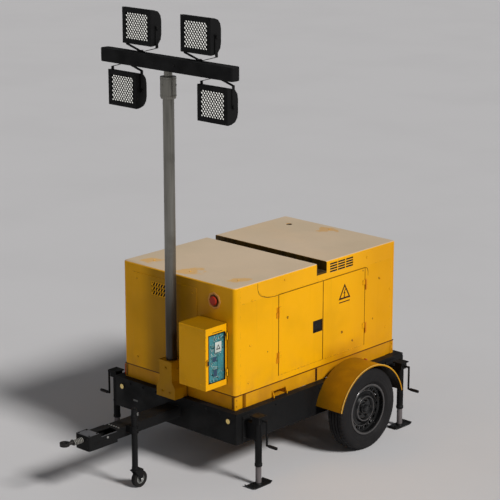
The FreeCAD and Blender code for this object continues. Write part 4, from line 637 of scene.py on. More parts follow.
def board_finish():
    """Circuit board: teal lacquer over a maze of straight tracks and bright pads."""
    coat = Finish("circuit_board", srgb(42, 122, 132), 0.35)
    coat.cloud(14, 4, 0.4, 0.7, 0.8, srgb(34, 88, 96))
    coat.cloud(60, 2, 0.5, 0.65, 0.7, srgb(24, 66, 74))
    sideways = (0, math.pi / 2, 0)
    turned = coat.node("ShaderNodeMapping", {"Rotation": sideways, "Vector": coat.place}).outputs[0]
    tracks = coat.node("ShaderNodeTexBrick", {"Vector": turned, "Scale": 45, "Mortar Size": 0.025},
                       offset=0.37, squash=0.6, squash_frequency=3).outputs["Fac"]
    coat.blend(coat.times(tracks, 0.7), srgb(110, 180, 178))
    pads = coat.ramp(coat.cells(130, 1), 0.16, 0.12)
    coat.blend(coat.times(pads, coat.ramp(coat.noise(18, 3), 0.5, 0.56)), srgb(215, 225, 215))
    coat.bump(tracks, 0.2, 0.0006)
    return coat.done()


def lens_finish(name, colour, glow=0.15):
    """A ribbed coloured lens over a reflector, with a painted glow."""
    coat = Finish(name, colour, 0.18)
    coat.blend(coat.ramp(coat.cells(60, 3), 0.1, 0.5, 0, 0.6), dim(colour, 0.5))
    coat.bump(coat.cells(90, 1), 0.5)
    coat.shader.inputs["Coat Weight"].default_value = 0.6
    # Painted glow: the lens gives off light of its own colour.
    coat.glow(colour, glow)
    return coat.done()


def floor_finish():
    """Plain pale studio floor."""
    coat = Finish("floor", srgb(214, 213, 215), 0.85)
    coat.cloud(0.6, 6, 0.4, 0.7, 0.5, srgb(209, 208, 210))
    coat.bump(coat.noise(60, 4), 0.05)
    return coat.done()


EVEN = (1, 1, 1)
DOOR_SCARS = [(0.211, 1.149, 0.010), (0.853, 0.884, 0.011), (0.983, 0.782, 0.009), (1.300, 1.225, 0.009),
              (1.100, 1.330, 0.006), (-0.010, 0.930, 0.006), (1.230, 0.905, 0.006)]
PAINT = worn_paint("yellow_paint", scars=DOOR_SCARS)
BOX_PAINT = worn_paint("box_paint", top_shade=srgb(146, 102, 4))
VENT_PAINT = worn_paint("vent_paint", dusty=False)
GUARD_PAINT = guard_finish()
ROOF = roof_finish()
BLACK = black_finish("black_paint")
LAMP_BLACK = black_finish("lamp_black", 0.5, 0.05)
WHEEL_BLACK = black_finish("wheel_paint", 0.22, 0.04, 0.4)
RIM_EDGE = steel_finish("rim_edge", srgb(104, 102, 102), 0.14, EVEN, srgb(48, 46, 46))
MAST = mast_finish()
FORGED = steel_finish("forged_steel", srgb(58, 56, 55), 0.45, EVEN, srgb(44, 34, 28))
BRIGHT = steel_finish("bright_steel", srgb(190, 190, 188), 0.3, EVEN)
TYRE = rubber_finish("tyre_rubber", srgb(30, 29, 30), srgb(66, 63, 62), 0.14)
RUBBER = rubber_finish("black_rubber", srgb(27, 26, 26))
BELLOWS = bellows_finish()
BLACK_PLASTIC = plastic_finish("black_plastic", srgb(22, 18, 18), 0.5)
GREY_PLASTIC = plastic_finish("grey_plastic", srgb(120, 120, 118), 0.45)
WHITE_PLASTIC = plastic_finish("white_plastic", srgb(226, 228, 222), 0.35)
PALE_PLASTIC = plastic_finish("pale_plastic", srgb(196, 204, 198))
RED_PLASTIC = plastic_finish("red_plastic", srgb(176, 48, 26))
ORANGE_RING = plastic_finish("orange_ring", srgb(214, 150, 70))
STOP_RECESS = plastic_finish("stop_recess", srgb(104, 60, 14), 0.5)
LED = plastic_finish("led_lens", srgb(252, 251, 244), 0.18, shade=0.92, glow=0.85)
SIGN_INK = plastic_finish("sign_ink", srgb(58, 24, 4), 0.5)
PALE_PAINT = plastic_finish("pale_paint", srgb(92, 92, 95))
# Painted highlight: pale paint on the mudguards' rolled rims.
RIM_HIGHLIGHT_PAINT = plastic_finish("rim_highlight_paint", srgb(236, 196, 104), 0.35)
FILTER_PAINT = plastic_finish("filter_paint", srgb(190, 70, 20), 0.35)
CHIP_BLUE = plastic_finish("chip_blue", srgb(52, 74, 98))
BOARD = board_finish()
AMBER = lens_finish("amber_lens", srgb(238, 206, 122), 0.2)
RED_LENS = lens_finish("red_lens", srgb(170, 16, 10))
IRON = cast_finish("engine_iron", srgb(96, 100, 104))
ENGINE_GREEN = cast_finish("engine_enamel", srgb(70, 96, 84), 0.5)
ALLOY = cast_finish("cast_alloy", srgb(150, 150, 148), 0.45)
RADIATOR = steel_finish("radiator_metal", srgb(110, 112, 112), 0.5, (0.04, 1, 1))
SILENCER = steel_finish("silencer_steel", srgb(128, 116, 100), 0.5, (1, 0.06, 1), srgb(120, 70, 40))
TANK = plastic_finish("tank_plastic", srgb(44, 44, 46), 0.5)
COPPER = steel_finish("gold_contact", srgb(214, 168, 84), 0.3, EVEN)
JACK_LEG = jack_leg_finish()


def dress_nodes():
    """Gives every CAD node its detailed finish in place of the plain packed one."""
    plain = (PAINT, ROOF, BLACK, MAST, BRIGHT, WHEEL_BLACK, TYRE, RUBBER, BELLOWS, BOARD, BLACK_PLASTIC,
             RED_PLASTIC, IRON, RADIATOR, TANK, SILENCER)
    by_slot = {plain_name(material): material for material in plain}
    by_slot.update({"lamp_housing": LAMP_BLACK, "lens_plastic": AMBER, "fan_plastic": BLACK_PLASTIC})
    special = {"mudguards": GUARD_PAINT, "engine_block": ENGINE_GREEN, "jockey_tube": BLACK,
               "towing_eye": FORGED, "alternator": ALLOY, "control_box": BOX_PAINT,
               "control_box_door": BOX_PAINT}
    special.update({node: JACK_LEG for node in NODES if node.startswith("jack_leg")})
    for entry in frame["record"]["subparts"]:
        node = entry["node"]
        slots = NODES[node].data.materials
        slots.clear()
        slots.append(special.get(node, by_slot[entry["material_slot"]]))


# ---------------------------------------------------------------- canopy

def canopy_bolts():
    """Panel bolts on both sides, on the front cover, along the rear and on the roof."""
    bolts, caps = Shape(), Shape()
    side_places = [(-0.178, 1.368), (-0.200, 1.026), (0.180, 1.450), (1.148, 1.427), (1.320, 1.220),
                   (1.445, 1.107), (1.395, 0.80), (-0.220, 0.74)]
    for side in SIDES.values():
        for y, z in side_places:
            bolts.bolt(on_side(side, 0, y, z), side * X, 0.0075, domed=True)
    inset = 0.045
    for x in (COVER_LOW.x + inset, COVER_HIGH.x - inset):
        for z in (COVER_LOW.z + inset, COVER_HIGH.z - inset):
            bolts.bolt((x, COVER_LOW.y, z), -Y, 0.0085)
    for x in (-0.40, 0.0, 0.40):
        for z in (0.70, 1.30, 1.44):
            bolts.bolt((x, REAR_Y, z), Y, 0.0075, domed=True)
    piece("panel_bolts", bolts, PAINT)
    for x, y in ROOF_FIXINGS:
        caps.bolt((x, y, ROOF_Z), Z, 0.008, domed=True)
    piece("roof_bolts", caps, ROOF)


def gaskets():
    """Dark strip between canopy and skid, a gasket that also stands for the seam's painted shade; sealant
    that curves up from the doors' heads, and door sills.
    """
    inset = 0.0004
    # A dark strip: gasket and painted shade of the seam between canopy and skid.
    ring = Shape().frame((-SIDE_X + inset, FRONT_Y + inset, 0.6611), (SIDE_X - inset, REAR_Y - inset, 0.6649),
                         2, 0.006)
    piece("canopy_gasket_and_seam_shade", ring, SIGN_INK)
    sealant, sills = Shape(), Shape()
    line = DOOR_TOP - 0.002
    paths = ([(-0.120, ROOF_Z - 0.014), (-0.120, 1.445), (-0.103, 1.398), (-0.040, 1.364),
              (0.060, line + 0.0003), (0.110, line)],
             [(1.131, line), (1.150, line - 0.006), (1.163, line - 0.028), (1.165, line - 0.070)])
    for side in SIDES.values():
        for path in paths:
            sealant.hose([on_side(side, -0.0012, y, z) for y, z in path], 0.0022, 8)
        sills.block(on_side(side, -0.012, DOOR_LINES[0] + 0.006, DOOR_BOTTOM + 0.0004),
                    on_side(side, -0.0010, DOOR_LINES[-1] - 0.006, DOOR_BOTTOM + 0.0036))
    piece("canopy_sealant", sealant, SIGN_INK)
    piece("door_sills", sills, BOX_PAINT)


def louvres():
    """Slanted blades behind the slots high on both sides, with a dark box behind them."""
    blades, backing = Shape(), Shape()
    front, rear, bottom, top, rows = 0.697, 0.982, 1.394, 1.475, 4
    for side in SIDES.values():
        turn = Matrix.Rotation(side * math.radians(38), 4, "Y")
        for row in range(rows):
            z = bottom + (row + 0.5) * (top - bottom) / rows
            blades.block(on_side(side, -0.021, front + 0.004, z - 0.001),
                         on_side(side, -0.0055, rear - 0.004, z + 0.001), turn=turn)
        backing.block(on_side(side, -0.034, front - 0.01, bottom - 0.01),
                      on_side(side, -0.031, rear + 0.01, top + 0.006))
    piece("louvre_blades", blades, BLACK)
    piece("louvre_backing", backing, BLACK_PLASTIC)


def vent_grille():
    """Three rows of leaning slots in the front cover's vent, with a dark screen behind as painted shade in
    the slots.
    """
    left, right, bottom, top, rows = -0.277, -0.060, 1.282, 1.388, 3
    plane, thick = COVER_LOW.y + 0.0005, 0.0022
    rail, bar, pitch, lean = 0.0070, 0.0100, 0.0275, 0.018
    step = (top - bottom - rail) / rows
    grille = Shape().frame((left - 0.004, plane, bottom - 0.004), (right + 0.004, plane + thick, top + 0.004),
                           1, 0.008, 0.0006)
    for row in range(rows):
        low = bottom + rail / 2 + row * step
        if row:
            grille.block((left, plane, low - rail / 2), (right, plane + thick, low + rail / 2))
        for i in range(int((right - left - lean) / pitch) + 1):
            x = left + pitch * i
            outline = [(x, low), (min(x + bar, right), low), (min(x + bar + lean, right), low + step),
                       (x + lean, low + step)]
            grille.prism([(u, plane, v) for u, v in outline], (0, thick, 0))
    piece("vent_grille", grille, VENT_PAINT)
    # Painted shade: a dark screen behind the slots.
    screen = Shape().block((left - 0.01, FRONT_Y + 0.006, bottom - 0.01),
                           (right + 0.01, FRONT_Y + 0.009, top + 0.01))
    piece("vent_shade_screen", screen, BLACK_PLASTIC)


def rear_grille():
    """Slanted blades in the cooling slots at the rear, with a dark screen behind."""
    blades = Shape()
    turn = Matrix.Rotation(math.radians(40), 4, "X")
    for i in range(8):
        z = 0.772 + 0.060 * i
        blades.block((-0.298, REAR_Y - 0.026, z - 0.0012), (0.298, REAR_Y - 0.001, z + 0.0012), turn=turn)
    piece("rear_blades", blades, PAINT)
    screen = Shape().block((-0.31, REAR_Y - 0.040, 0.75), (0.31, REAR_Y - 0.037, 1.22))
    piece("rear_screen", screen, BLACK_PLASTIC)


def hazard_sign(side):
    """A plain printed triangle with a zigzag arrow and a bar under it, on the rear door."""
    y_low, y_high, z_low, z_high = 0.808, 0.950, 1.149, 1.272
    x, y_mid, thick = side * (SIDE_X + 0.0002), (y_low + y_high) / 2, side * 0.0006
    centre = Vector((x, y_mid, z_low + (z_high - z_low) * 0.36))
    corners = [Vector((x, y_low, z_low)), Vector((x, y_high, z_low)), Vector((x, y_mid, z_high))]
    sign = Shape().triangle(corners, centre, 0.31, thick * X)
    zigzag = [(0.004, 0.034), (-0.012, 0.000), (-0.002, 0.000), (-0.007, -0.022), (-0.011, -0.020),
              (-0.002, -0.034), (0.005, -0.017), (0.000, -0.020), (0.009, 0.007), (-0.001, 0.007),
              (0.012, 0.034)]
    sign.prism([centre + Vector((0, 1.2 * u, v)) for u, v in zigzag], thick * X)
    return sign.block((x, y_low + 0.006, z_low - 0.027), (x + thick, y_high - 0.008, z_low - 0.019))


def door_details(name, side):
    """Latch pans, seals and padding that go with each door, and the printed sign."""
    low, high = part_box(f"door_latch_{name}")
    wall, margin, rim, back = 0.002, 0.0048, 0.001, -0.0165
    y0, y1, z0, z1 = low.y - margin, high.y + margin, low.z - margin - 0.003, high.z + margin
    pan = Shape().block(on_side(side, back, y0, z0), on_side(side, back + wall, y1, z1))
    pan.frame(on_side(side, back, y0, z0), on_side(side, -0.0045, y1, z1), 0, wall)
    pan.frame(on_side(side, 0.0001, y0 + rim, z0 + rim), on_side(side, 0.0012, y1 - rim, z1 - rim), 0, 0.0045,
              0.0004)
    piece(f"latch_pan_{name}", pan, BLACK_PLASTIC, body=f"door_{name}_front_body")

    y, z = low.y + 0.03, low.z + 0.052
    lock = Shape().rod(on_side(side, -0.003, y, z), on_side(side, -0.0005, y, z), 0.009, sides=28,
                       bevel=0.0006)
    lock.block(on_side(side, -0.002, y - 0.0015, z - 0.005), on_side(side, 0.0002, y + 0.0015, z + 0.005),
               0.0003)
    piece(f"latch_lock_{name}", lock, FORGED, f"door_latch_{name}_body")

    for place, first, last in (("front", 0.016, 0.003), ("rear", 0.003, 0.016)):
        body = f"door_{name}_{place}_body"
        low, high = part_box(f"door_{name}_{place}")
        y0, y1 = low.y + first, high.y - last
        seal = Shape().frame(on_side(side, -0.0205, y0, low.z + 0.003),
                             on_side(side, -0.0265, y1, high.z - 0.003), 0, 0.009, 0.002)
        piece(f"door_seal_{name}_{place}", seal, RUBBER, body=body)
        foam = Shape()
        for bottom, top in ((low.z + 0.02, low.z + 0.225), (high.z - 0.285, high.z - 0.02)):
            foam.block(on_side(side, -0.0048, y0 + 0.02, bottom), on_side(side, -0.0155, y1 - 0.02, top),
                       0.004)
        piece(f"door_foam_{name}_{place}", foam, TANK, body=body)
    piece(f"hazard_sign_{name}", hazard_sign(side), SIGN_INK, f"door_{name}_rear_body")


def hinge_screws(name, side):
    """Small screws on the fixed and the moving hinge leaves."""
    hinged = (("front", DOOR_LINES[0], 1), ("rear", DOOR_LINES[-1], -1))

    def screws(shape, out, y, rises):
        for level in HINGE_LEVELS:
            for rise in rises:
                shape.bolt(on_side(side, out, y, level + rise), side * X, 0.0028, False, True)
    fixed = Shape()
    for _, edge, inward in hinged:
        screws(fixed, 0.003, edge - inward * 0.018, (0.010, 0.029))
    piece(f"hinge_screws_{name}", fixed, PAINT)
    for place, edge, inward in hinged:
        moving = Shape()
        screws(moving, 0.004, edge + inward * 0.020, (0.051, 0.070))
        piece(f"door_screws_{name}_{place}", moving, PAINT, body=f"door_{name}_{place}_body")


def emergency_stop():
    """The round plate and the collar that the red button works in."""
    low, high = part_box("emergency_stop_button")
    centre = Vector(((low.x + high.x) / 2, FRONT_Y, (low.z + high.z) / 2))
    plate = Shape().lathe(centre, -Y, [(0.0500, 0.0), (0.0500, 0.0045), (0.0535, 0.0060), (0.0610, 0.0060),
                                       (0.0655, 0.0035), (0.0670, 0.0)], 8)
    piece("stop_plate", plate, ORANGE_RING)
    collar = Shape().lathe(centre, -Y, [(0.0175, 0.0), (0.0175, 0.0025), (0.0495, 0.0025), (0.0495, 0.0)])
    piece("stop_collar", collar, STOP_RECESS)
    crown = Shape().lathe((centre.x, low.y + 0.0005, centre.z), -Y,
                          [(0.0, 0.0022), (0.012, 0.0020), (0.021, 0.0008), (0.026, -0.0004), (0.0, -0.0004)])
    piece("stop_crown", crown, RED_PLASTIC, body="estop")


# ---------------------------------------------------------------- control box

def control_box():
    """The board's small parts and label, and the seals, caps and screws of the box and its door."""
    low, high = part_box("control_board")
    door_low, door_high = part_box("control_box_door")
    face, rim = high.x - 0.007, 0.006
    rng = random.Random(11)

    def spread(count, wide, tall, deep):
        """Blocks of random sizes strewn over the board."""
        shape = Shape()
        for _ in range(count):
            w, t = rng.uniform(*wide), rng.uniform(*tall)
            y = rng.uniform(low.y + rim, high.y - rim - w)
            z = rng.uniform(low.z + rim, high.z - rim - t)
            shape.block((face, y, z), (face + rng.uniform(*deep), y + w, z + t), 0.0003)
        return shape
    black = spread(40, (0.004, 0.010), (0.004, 0.012), (0.002, 0.003))
    pale = spread(230, (0.0015, 0.0045), (0.002, 0.006), (0.001, 0.003))
    gold = spread(50, (0.002, 0.006), (0.002, 0.004), (0.001, 0.003))
    grey = spread(26, (0.004, 0.010), (0.004, 0.012), (0.002, 0.004))
    chips, pins = Shape(), 5
    for y, z, wide, tall in ((-0.518, 0.951, 0.046, 0.042), (-0.507, 0.836, 0.041, 0.058)):
        chips.block((face + 0.005, y + 0.003, z + 0.003), (face + 0.0068, y + wide - 0.003, z + tall - 0.003),
                    0.0006)
        for i in range(pins):
            pin = y + (i + 0.5) * wide / pins
            pale.block((face, pin - 0.0012, z - 0.004), (face + 0.002, pin + 0.0012, z + tall + 0.004))
    piece("board_modules", chips, CHIP_BLUE)
    skirt = Shape().block((face - 0.003, high.y - 0.0005, low.z + 0.004),
                          (face - 0.0002, door_high.y - 0.0005, high.z - 0.004))
    piece("board_skirt", skirt, BOARD)
    piece("board_chips", black, BLACK_PLASTIC)
    piece("board_parts_pale", pale, WHITE_PLASTIC)
    piece("board_parts_gold", gold, COPPER)
    piece("board_parts_grey", grey, GREY_PLASTIC)

    y, z, wide, tall, thick = -0.490, 1.021, 0.067, 0.078, 0.0008
    label = Shape().block((high.x - 0.0003, y, z), (high.x + thick, y + wide, z + tall), 0.0003)
    piece("display_panel", label, PALE_PLASTIC)
    centre = Vector((high.x + thick, y + wide / 2, z + tall * 0.46))
    corners = [centre + Vector((0, u, v)) for u, v in ((-0.022, -0.016), (0.022, -0.016), (0, 0.024))]
    piece("display_mark", Shape().triangle(corners, centre, 0.45, (0.0005, 0, 0)), BLACK_PLASTIC)

    plate = door_low.x
    left, right, bottom, top = -0.567, -0.388, 0.795, 1.168
    gap = 0.0005
    seal = Shape().frame((plate + gap, left + gap, bottom + gap), (plate + 0.0055, right - gap, top - gap),
                         0, 0.005, 0.001)
    seal.block((plate + 0.003, -0.524, 1.1785), (plate + 0.0042, -0.418, 1.1825), 0.0004)
    piece("control_window_seal", seal, RUBBER, body="control_door")
    for place, level, material in (("lower", 0.819, PAINT), ("upper", 1.100, BLACK_PLASTIC)):
        cap = Shape().block((plate + 0.0062, -0.3875, level + 0.030),
                            (plate + 0.0085, -0.3825, level + 0.052), 0.0006)
        piece(f"control_hinge_cap_{place}", cap, material, "control_door")
    handle_y = (left + door_low.y) / 2 - 0.0005
    handle = Shape().block((plate + 0.0148, handle_y - 0.0065, 0.946),
                           (plate + 0.0172, handle_y + 0.0065, 0.983), 0.001)
    piece("control_door_fittings", handle, BLACK_PLASTIC, body="control_door")
    screws = Shape()
    for z in (0.79, 1.18):
        for x in (0.30, 0.46):
            screws.bolt((x, -0.596, z), -Y, 0.005, domed=True)
    piece("control_box_screws", screws, PAINT)


# ---------------------------------------------------------------- skid, chassis and drawbar

def skid_details():
    """Frames of the fork pockets, joint lines, a dark strip as painted shade of a slot at each front corner,
    corner bolts and the left corner's red marker.
    """
    frames, marks = Shape(), Shape()
    lip, root, base = 0.007, -0.003, SKID_LOW.z
    cheek = [(root, 0.001), (0.024, 0.001), (0.022, 0.010), (0.005, 0.054), (root, 0.054)]
    for side in SIDES.values():
        for front, rear in ((0.045, 0.186), (0.954, 1.095)):
            for y in (front - lip, rear):
                frames.prism([on_side(side, out, y, base + rise) for out, rise in cheek], (0, lip, 0))
            frames.block(on_side(side, root, front, base + 0.0495), on_side(side, 0.003, rear, base + 0.054),
                         0.0012)
        marks.block(on_side(side, -0.001, 0.537, base + 0.004), on_side(side, 0.0012, 0.560, base + 0.103),
                    0.0005)
        for y in (-0.348, 1.487):
            for rise in (0.030, 0.080):
                frames.bolt(on_side(side, 0, y, base + rise), side * X, 0.006)
        # Painted shade: a dark strip standing for a slot at the front corner.
        marks.block((side * 0.563, FRONT_Y - 0.0006, base + 0.010),
                    (side * 0.574, FRONT_Y + 0.0010, base + 0.100), 0.0004)
    piece("fork_pocket_frames", frames, PAINT)
    piece("skid_joints_and_slot_shade", marks, SIGN_INK)
    strip = Shape().block((-SIDE_X - 0.002, FRONT_Y - 0.0005, base + 0.012),
                          (-SIDE_X + 0.0005, FRONT_Y + 0.028, base + 0.098), 0.001)
    piece("corner_marker", strip, RED_LENS)


def chassis_details():
    """The frame's bolts and weld beads, a blank serial plate, and the rims and lenses of its lamps."""
    welds, bolts, rims, lenses = Shape(), Shape(), Shape(), Shape()
    front, rear, half = CHASSIS_LOW.y, CHASSIS_HIGH.y, CHASSIS_HIGH.x
    bottom, top = CHASSIS_LOW.z, CHASSIS_HIGH.z
    for side in SIDES.values():
        for y in JACK_LINES.values():
            for dy in (-0.045, 0.045):
                for z in (bottom + 0.040, top - 0.050):
                    bolts.bolt((side * (half + 0.008), y + dy, z), side * X, 0.009)
        for y in (0.02, 0.52, 1.20):
            bolts.bolt((side * half, y, top - 0.035), side * X, 0.009)
        for x in (0.20, 0.34, 0.48):
            bolts.bolt((side * x, front, top - 0.030), -Y, 0.008)
            bolts.bolt((side * x, rear, top - 0.030), Y, 0.008)
        x = side * (half - 0.001)
        for y in (front + 0.001, rear - 0.001):
            welds.hose([(x, y, bottom + 0.02), (x, y, top - 0.02)], 0.004, 8)
        rims.lathe((side * 0.570, front, 0.485), -Y,
                   [(0.0195, 0.0), (0.0195, 0.006), (0.022, 0.006), (0.024, 0.0)], 32)
        rims.frame((side * 0.425, rear - 0.001, 0.395), (side * 0.615, rear + 0.005, 0.505), 1, 0.005, 0.001)
        lenses.block((side * 0.432, rear + 0.0055, 0.404), (side * 0.516, rear + 0.0072, 0.496), 0.0008)
    half_width, low, high = 0.070, 0.398, 0.474
    corners = [(-half_width, low), (half_width, low), (-half_width, high), (half_width, high)]
    for a, b in ((0, 1), (2, 3), (0, 2), (1, 3)):
        welds.hose([(x, front - 0.001, z) for x, z in (corners[a], corners[b])], 0.004, 8)
    piece("chassis_bolts", bolts, BLACK)
    piece("chassis_welds", welds, BLACK)
    plate = Shape().frame((-0.446, front - 0.002, 0.396), (-0.396, front + 0.001, 0.410), 1, 0.003, 0.0008)
    plate.block((-0.444, front - 0.0006, 0.398), (-0.398, front + 0.0005, 0.408))
    piece("serial_plate", plate, GREY_PLASTIC)
    piece("reflector_rims", rims, BLACK_PLASTIC)
    piece("rear_lamp_lenses", lenses, RED_LENS)


def guard_details():
    """Rolled rims, in a pale paint that is a painted highlight, and bolts on the mudguards, with a small red
    marker on each.
    """
    rims, markers, bolts = Shape(), Shape(), Shape()
    rim_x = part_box("mudguards")[1].x - 0.0035
    centre, first, last, steps = (0, GUARD_Y, GUARD_Z), 14, 166, 24
    marker_turn, marker_half = math.radians(64), (0.009, 0.012)
    arc = [math.radians(first + (last - first) * i / steps) for i in range(steps + 1)]
    for side in SIDES.values():
        rims.hose([about_x(centre, turn, GUARD_RADIUS, side * rim_x) for turn in arc], 0.0034)
        for degrees in (30, 70, 110, 150):
            place = about_x(centre, math.radians(degrees), GUARD_RADIUS - 0.030, side * 0.6555)
            bolts.bolt(place, side * X, 0.007)
        place = about_x(centre, marker_turn, GUARD_RADIUS, side * 0.700)
        lean = Matrix.Rotation(marker_turn - math.pi / 2, 4, "X")
        markers.block(place - Vector((*marker_half, 0)), place + Vector((*marker_half, 0.009)), 0.002, lean)
    piece("guard_rims", rims, RIM_HIGHLIGHT_PAINT)
    piece("guard_bolts", bolts, BLACK)
    piece("guard_markers", markers, RED_LENS)


def drawbar_details():
    """The coupling's plates, cover, bolts and pins, and the jockey clamp's screws."""
    low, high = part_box("drawbar")
    top, front = high.z, low.y
    plate, bolts, bright, pale = Shape(), Shape(), Shape(), Shape()
    step, deck, shank = -1.240, 0.476, 0.456
    plate.lathe((0, front, shank), -Y, [(0.0225, 0.0), (0.0225, 0.003), (0.036, 0.003), (0.039, 0.0)], 40)
    for side in SIDES.values():
        plate.block((side * 0.0748, -1.300, 0.418), (side * 0.0775, -1.135, 0.432), 0.0008)
        pale.block((side * 0.0745, -1.235, 0.4630), (side * 0.0758, -1.085, 0.4665), 0.0004)
        bright.rod((side * 0.0745, -1.176, 0.446), (side * 0.0815, -1.176, 0.446), 0.009, bevel=0.001)
        bolts.bolt((side * 0.0775, -1.27, 0.425), side * X, 0.006)
        for z in (0.405, 0.470):
            bolts.bolt((side * 0.052, front, z), -Y, 0.007)
    for i in range(5):
        bright.bolt((-0.050 + 0.025 * i, -1.042, 0.474), Z, 0.0058)
    pale.block((-0.064, front + 0.008, top - 0.0002), (0.064, step - 0.008, top + 0.0016), 0.0006)
    for x in (-0.055, 0.055):
        for y in (front + 0.020, step - 0.020):
            bolts.bolt((x, y, top + 0.0014), Z, 0.006)
    for x0, x1, y0 in ((-0.013, -0.005, -1.238), (-0.005, 0.0745, -1.085)):
        plate.block((x0, y0, deck - 0.0005), (x1, -1.078, deck + 0.0025), 0.0006)
    piece("coupling_plates", plate, BLACK)
    piece("coupling_cover", pale, PALE_PAINT)
    piece("coupling_bolts", bolts, BLACK)
    piece("coupling_pins", bright, BRIGHT)
    clamp = Shape().bolt((0.1635, -0.960, 0.460), X, 0.007)
    for y in (-0.945, -0.975):
        clamp.bolt((0.096, y, top - 0.004), Z, 0.008)
    piece("jockey_clamp_screw", clamp, BLACK)


def hitch_sleeve():
    """The ribbed rubber sleeve."""
    low, high = BELLOWS_LOW, BELLOWS_HIGH
    length, folds = high.y - low.y, 6
    pitch = length / folds
    inner, valley, crest = 0.0138, 0.0162, 0.0209
    profile = [(inner, 0.0), (valley, 0.0)]
    for i in range(folds):
        profile += [(valley, pitch * (i + 0.16)), (crest, pitch * (i + 0.42)), (crest, pitch * (i + 0.58)),
                    (valley, pitch * (i + 0.84))]
    profile += [(valley, length), (inner, length)]
    sleeve = Shape().lathe((0, low.y, BELLOWS_Z), Y, profile, 56)
    obj = piece("hitch_sleeve", sleeve, BELLOWS, sharp=60)
    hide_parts("hitch_bellows")
    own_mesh(obj)


def jockey_details():
    """The jockey post's knob, collar and pin, and the hub, tread and axle nuts of its wheel."""
    low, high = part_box("jockey_tube")
    centre = (low + high) / 2
    top = high.z - 0.017
    head = Shape().rod((centre.x, centre.y, top), (centre.x, centre.y, top + 0.016), 0.012, bevel=0.002)
    head.lathe((centre.x, centre.y, 0.0), Z, [(0.0228, 0.545), (0.0265, 0.548), (0.0265, 0.572),
                                              (0.0228, 0.575)], 40)
    piece("jockey_head", head, BLACK, body="jockey_post")
    y = centre.y + 0.004
    pin = Shape().rod((centre.x + 0.022, y, 0.590), (centre.x + 0.038, y, 0.590), 0.0042, sides=16,
                      bevel=0.0008)
    pin.lathe((centre.x + 0.036, y, 0.583), X, [(0.006, -0.001), (0.0085, 0.0), (0.006, 0.001)], 24)
    piece("jockey_pin", pin, BRIGHT, body="jockey_post")

    low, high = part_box("jockey_wheel")
    middle = (low + high) / 2
    hub, ribs, nuts = Shape(), Shape(), Shape()
    for side in SIDES.values():
        hub.lathe(middle, side * X, [(0.0163, 0.0075), (0.0163, 0.0175), (0.0195, 0.0175), (0.023, 0.0105),
                                     (0.032, 0.0088), (0.0368, 0.0150), (0.0376, 0.0150), (0.0378, 0.0075)],
                  40)
        for turn in turns(6):
            spoke = [about_x(middle, turn + math.pi / 2, reach, side * 0.0088) for reach in (0.019, 0.035)]
            hub.rod(*spoke, 0.0026, 0.0020, 10)
        nuts.bolt(middle + side * X * 0.0325, side * X, 0.009)
    for offset in (-0.008, 0.0, 0.008):
        ribs.lathe(middle + X * offset, X, [(0.0633, -0.0022), (0.0643, -0.0013), (0.0643, 0.0013),
                                            (0.0633, 0.0022)],
                   56)
    piece("jockey_hub", hub, GREY_PLASTIC, "jockey_roller")
    piece("jockey_tread", ribs, RUBBER, body="jockey_roller")
    piece("jockey_axle_nuts", nuts, BRIGHT, body="jockey_caster")


# ---------------------------------------------------------------- wheels

def tyre(name):
    """A road tyre: rounded shoulders, three rain grooves, cross cuts and thin rings on the walls."""
    low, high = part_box(f"tyre_{name}")
    centre = (low + high) / 2
    half, outer, bead, tread_half = (high.x - low.x) / 2, (high.z - low.z) / 2, 0.190, 0.062
    wall = [(0.0500, 0.008), (0.0620, 0.0005), (0.0620, 0.014), (0.0700, 0.0205), (0.0785, 0.031),
            (0.0812, 0.036), (0.0822, 0.038), (0.0826, 0.041), (0.0822, 0.044), (half, 0.058), (half, 0.068),
            (0.0832, 0.070), (0.0832, 0.074), (0.0838, 0.076), (0.0830, 0.092), (0.0800, 0.106),
            (0.0756, 0.118), (0.0700, 0.1262), (0.0655, 0.1305)]
    groove = [(-0.0045, 0), (-0.0033, 0.007), (0.0033, 0.007), (0.0045, 0)]
    tread = [(-tread_half, 0)] + [(line + x, drop) for line in (-0.030, 0.0, 0.030) for x, drop in groove]
    tread.append((tread_half, 0))
    profile = [(-x, bead + rise) for x, rise in wall]
    profile += [(x, outer - 0.0022 * (x / tread_half) ** 2 - drop) for x, drop in tread]
    profile += [(x, bead + rise) for x, rise in reversed(wall)]
    cuts, per_cut, cut_steps = 60, 6, 2
    rings = []
    for i, turn in enumerate(turns(cuts * per_cut)):
        ring = []
        for x, r in profile:
            if i % per_cut < cut_steps and abs(x) > 0.038 and r > outer - 0.016:
                r -= 0.0045
            ring.append(about_x(centre, turn + 0.010 * x / half, r, x))
        rings.append(ring)
    obj = piece(f"road_tyre_{name}", Shape().skin(rings), TYRE, body=f"wheel_{name}_body", sharp=28)
    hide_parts(f"tyre_{name}")


